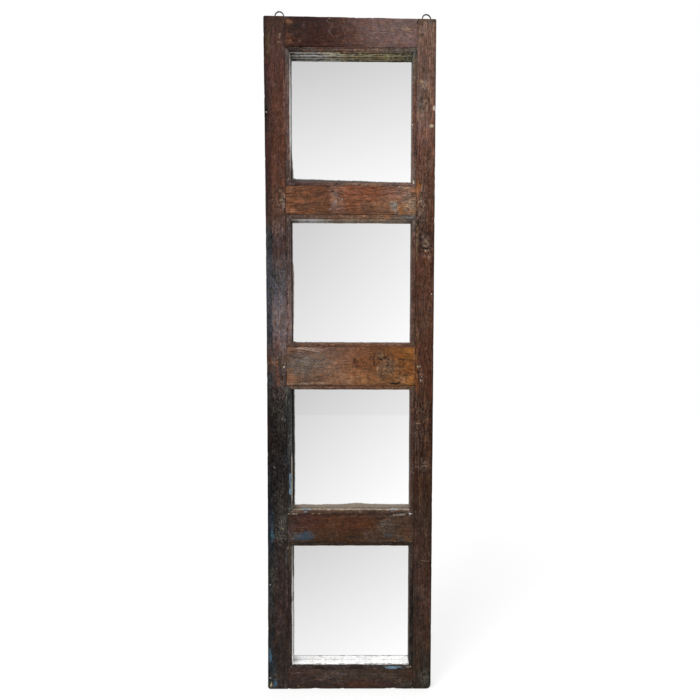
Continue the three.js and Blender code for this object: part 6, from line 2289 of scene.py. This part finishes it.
def make_leaf():
    looks = make_looks()
    for name, piece in make_frame().items():
        paint_board(piece, name)
        dress(name, piece, looks[name])
    for node, piece in make_strips("moulding").items():
        _, number, side = node.split("_")
        paint_moulding(piece, int(number), side)
        lie = "upright" if side in UPRIGHT_SIDES else "level"
        dress(node, piece, looks[lie + "_moulding"])
    for index, (node, piece) in enumerate(make_strips("bead").items()):
        paint_plain(piece, BEAD_TONE, 0.22, SEEDS["bead_paint"] + index)
        lie = "upright" if node.endswith(UPRIGHT_SIDES) else "level"
        dress(node, piece, looks[lie + "_bead"])
    for node, piece in make_sheets().items():
        number = int(node[-1])
        if node.startswith("mirror"):
            paint_pane(piece, number)
            dress(node, piece, looks["pane"])
        else:
            paint_plain(piece, BACKING_TONE, 0.12, SEEDS["backing_paint"] + number)
            dress(node, piece, looks["hardboard"])
    for index, (node, piece) in enumerate(make_pegs().items()):
        paint_plain(piece, PEG_TONES[node], 0.25, SEEDS["peg_paint"] + index, 3)
        dress(node, piece, looks["peg"])
    for node, piece in make_eyes().items():
        dress(node, piece, looks["wire"])
    for name, places in BRADS.items():
        dress(None, make_brads(name, *places), looks["nail"])


# Camera, light and floor

CAMERA_PLACE = (56.35, -1345.0, 33.63)
CAMERA_PITCH = math.radians(-2.683)
CAMERA_YAW = math.radians(0.439)
CAMERA_ROLL = math.radians(0.180)
CAMERA_LENS = 24.925
CAMERA_SHIFT = (-0.0347, 0.0381)
CAMERA_SENSOR = 36
CAMERA_CLIP = (0.01, 50)

KEY_TOWARDS = (math.radians(-38), math.radians(42))
KEY_STRENGTH = 1.75
KEY_SPREAD = math.radians(30)
KEY_DISTANCE = 3
AMBIENT = 0.78
FLOOR_ALBEDO = 0.3
FLOOR_GLOW = 0.71
FLOOR_SPAN = 12000
FLOOR_GAP = 0.5


def make_camera():
    data = bpy.data.cameras.new("camera")
    data.sensor_width = CAMERA_SENSOR
    data.lens = CAMERA_LENS
    data.shift_x, data.shift_y = CAMERA_SHIFT
    data.clip_start, data.clip_end = CAMERA_CLIP
    camera = bpy.data.objects.new("camera", data)
    turn = Matrix.Rotation(-CAMERA_YAW, 4, "Z") @ Matrix.Rotation(math.pi / 2 + CAMERA_PITCH, 4, "X")
    turn = turn @ Matrix.Rotation(CAMERA_ROLL, 4, "Z")
    camera.matrix_world = Matrix.Translation([value * MM for value in CAMERA_PLACE]) @ turn
    bpy.context.scene.collection.objects.link(camera)
    bpy.context.scene.camera = camera


def make_key():
    """A large soft light in front of the leaf, high on the left"""
    azimuth, elevation = KEY_TOWARDS
    data = bpy.data.lights.new("key", "SUN")
    data.energy = KEY_STRENGTH
    data.angle = KEY_SPREAD
    lamp = bpy.data.objects.new("key", data)
    place = Vector((math.sin(azimuth) * math.cos(elevation), -math.cos(azimuth) * math.cos(elevation),
                    math.sin(elevation)))
    lamp.rotation_euler = (-place).to_track_quat("-Z", "Y").to_euler()
    lamp.location = place * KEY_DISTANCE
    bpy.context.scene.collection.objects.link(lamp)


def make_world():
    """White where it is seen, and plain soft light on the leaf"""
    world = bpy.data.worlds.new("studio")
    bpy.context.scene.world = world
    nodes = Nodes(world)
    ambient, shown = (nodes.add("Background", {"Color": (1, 1, 1, 1), "Strength": strength})
                      for strength in (AMBIENT, 1.0))
    mix = nodes.add("MixShader", {0: nodes.seen_directly(), 1: ambient.outputs[0], 2: shown.outputs[0]})
    nodes.add("OutputWorld", {"Surface": mix.outputs[0]})


def make_floor():
    """A pale floor just under the leaf"""
    half = FLOOR_SPAN / 2
    z = leaf_bottom - FLOOR_GAP
    corners = [(-half, -half, z), (half, -half, z), (half, half, z), (-half, half, z)]
    floor = new_piece("floor", corners, [(0, 1, 2, 3)], "floor")
    material = bpy.data.materials.new("pale_floor")
    nodes = Nodes(material)
    diffuse = nodes.add("BsdfDiffuse", {"Color": (FLOOR_ALBEDO,) * 3 + (1,)})
    glow = nodes.add("Emission", {"Strength": nodes.maths("MULTIPLY", nodes.seen_directly(), FLOOR_GLOW)})
    both = nodes.add("AddShader", {0: diffuse.outputs[0], 1: glow.outputs[0]})
    nodes.add("OutputMaterial", {"Surface": both.outputs[0]})
    floor.data.materials.append(material)
    floor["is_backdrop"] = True


make_leaf()
make_camera()
make_key()
make_world()
make_floor()
bpy.context.scene.view_settings.view_transform = "Standard"

bpy.context.view_layer.update()
boxes = {"cad": cad_bounds, "visual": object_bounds()}
{key: [[float(v) for v in corner] for corner in box] for key, box in boxes.items()}
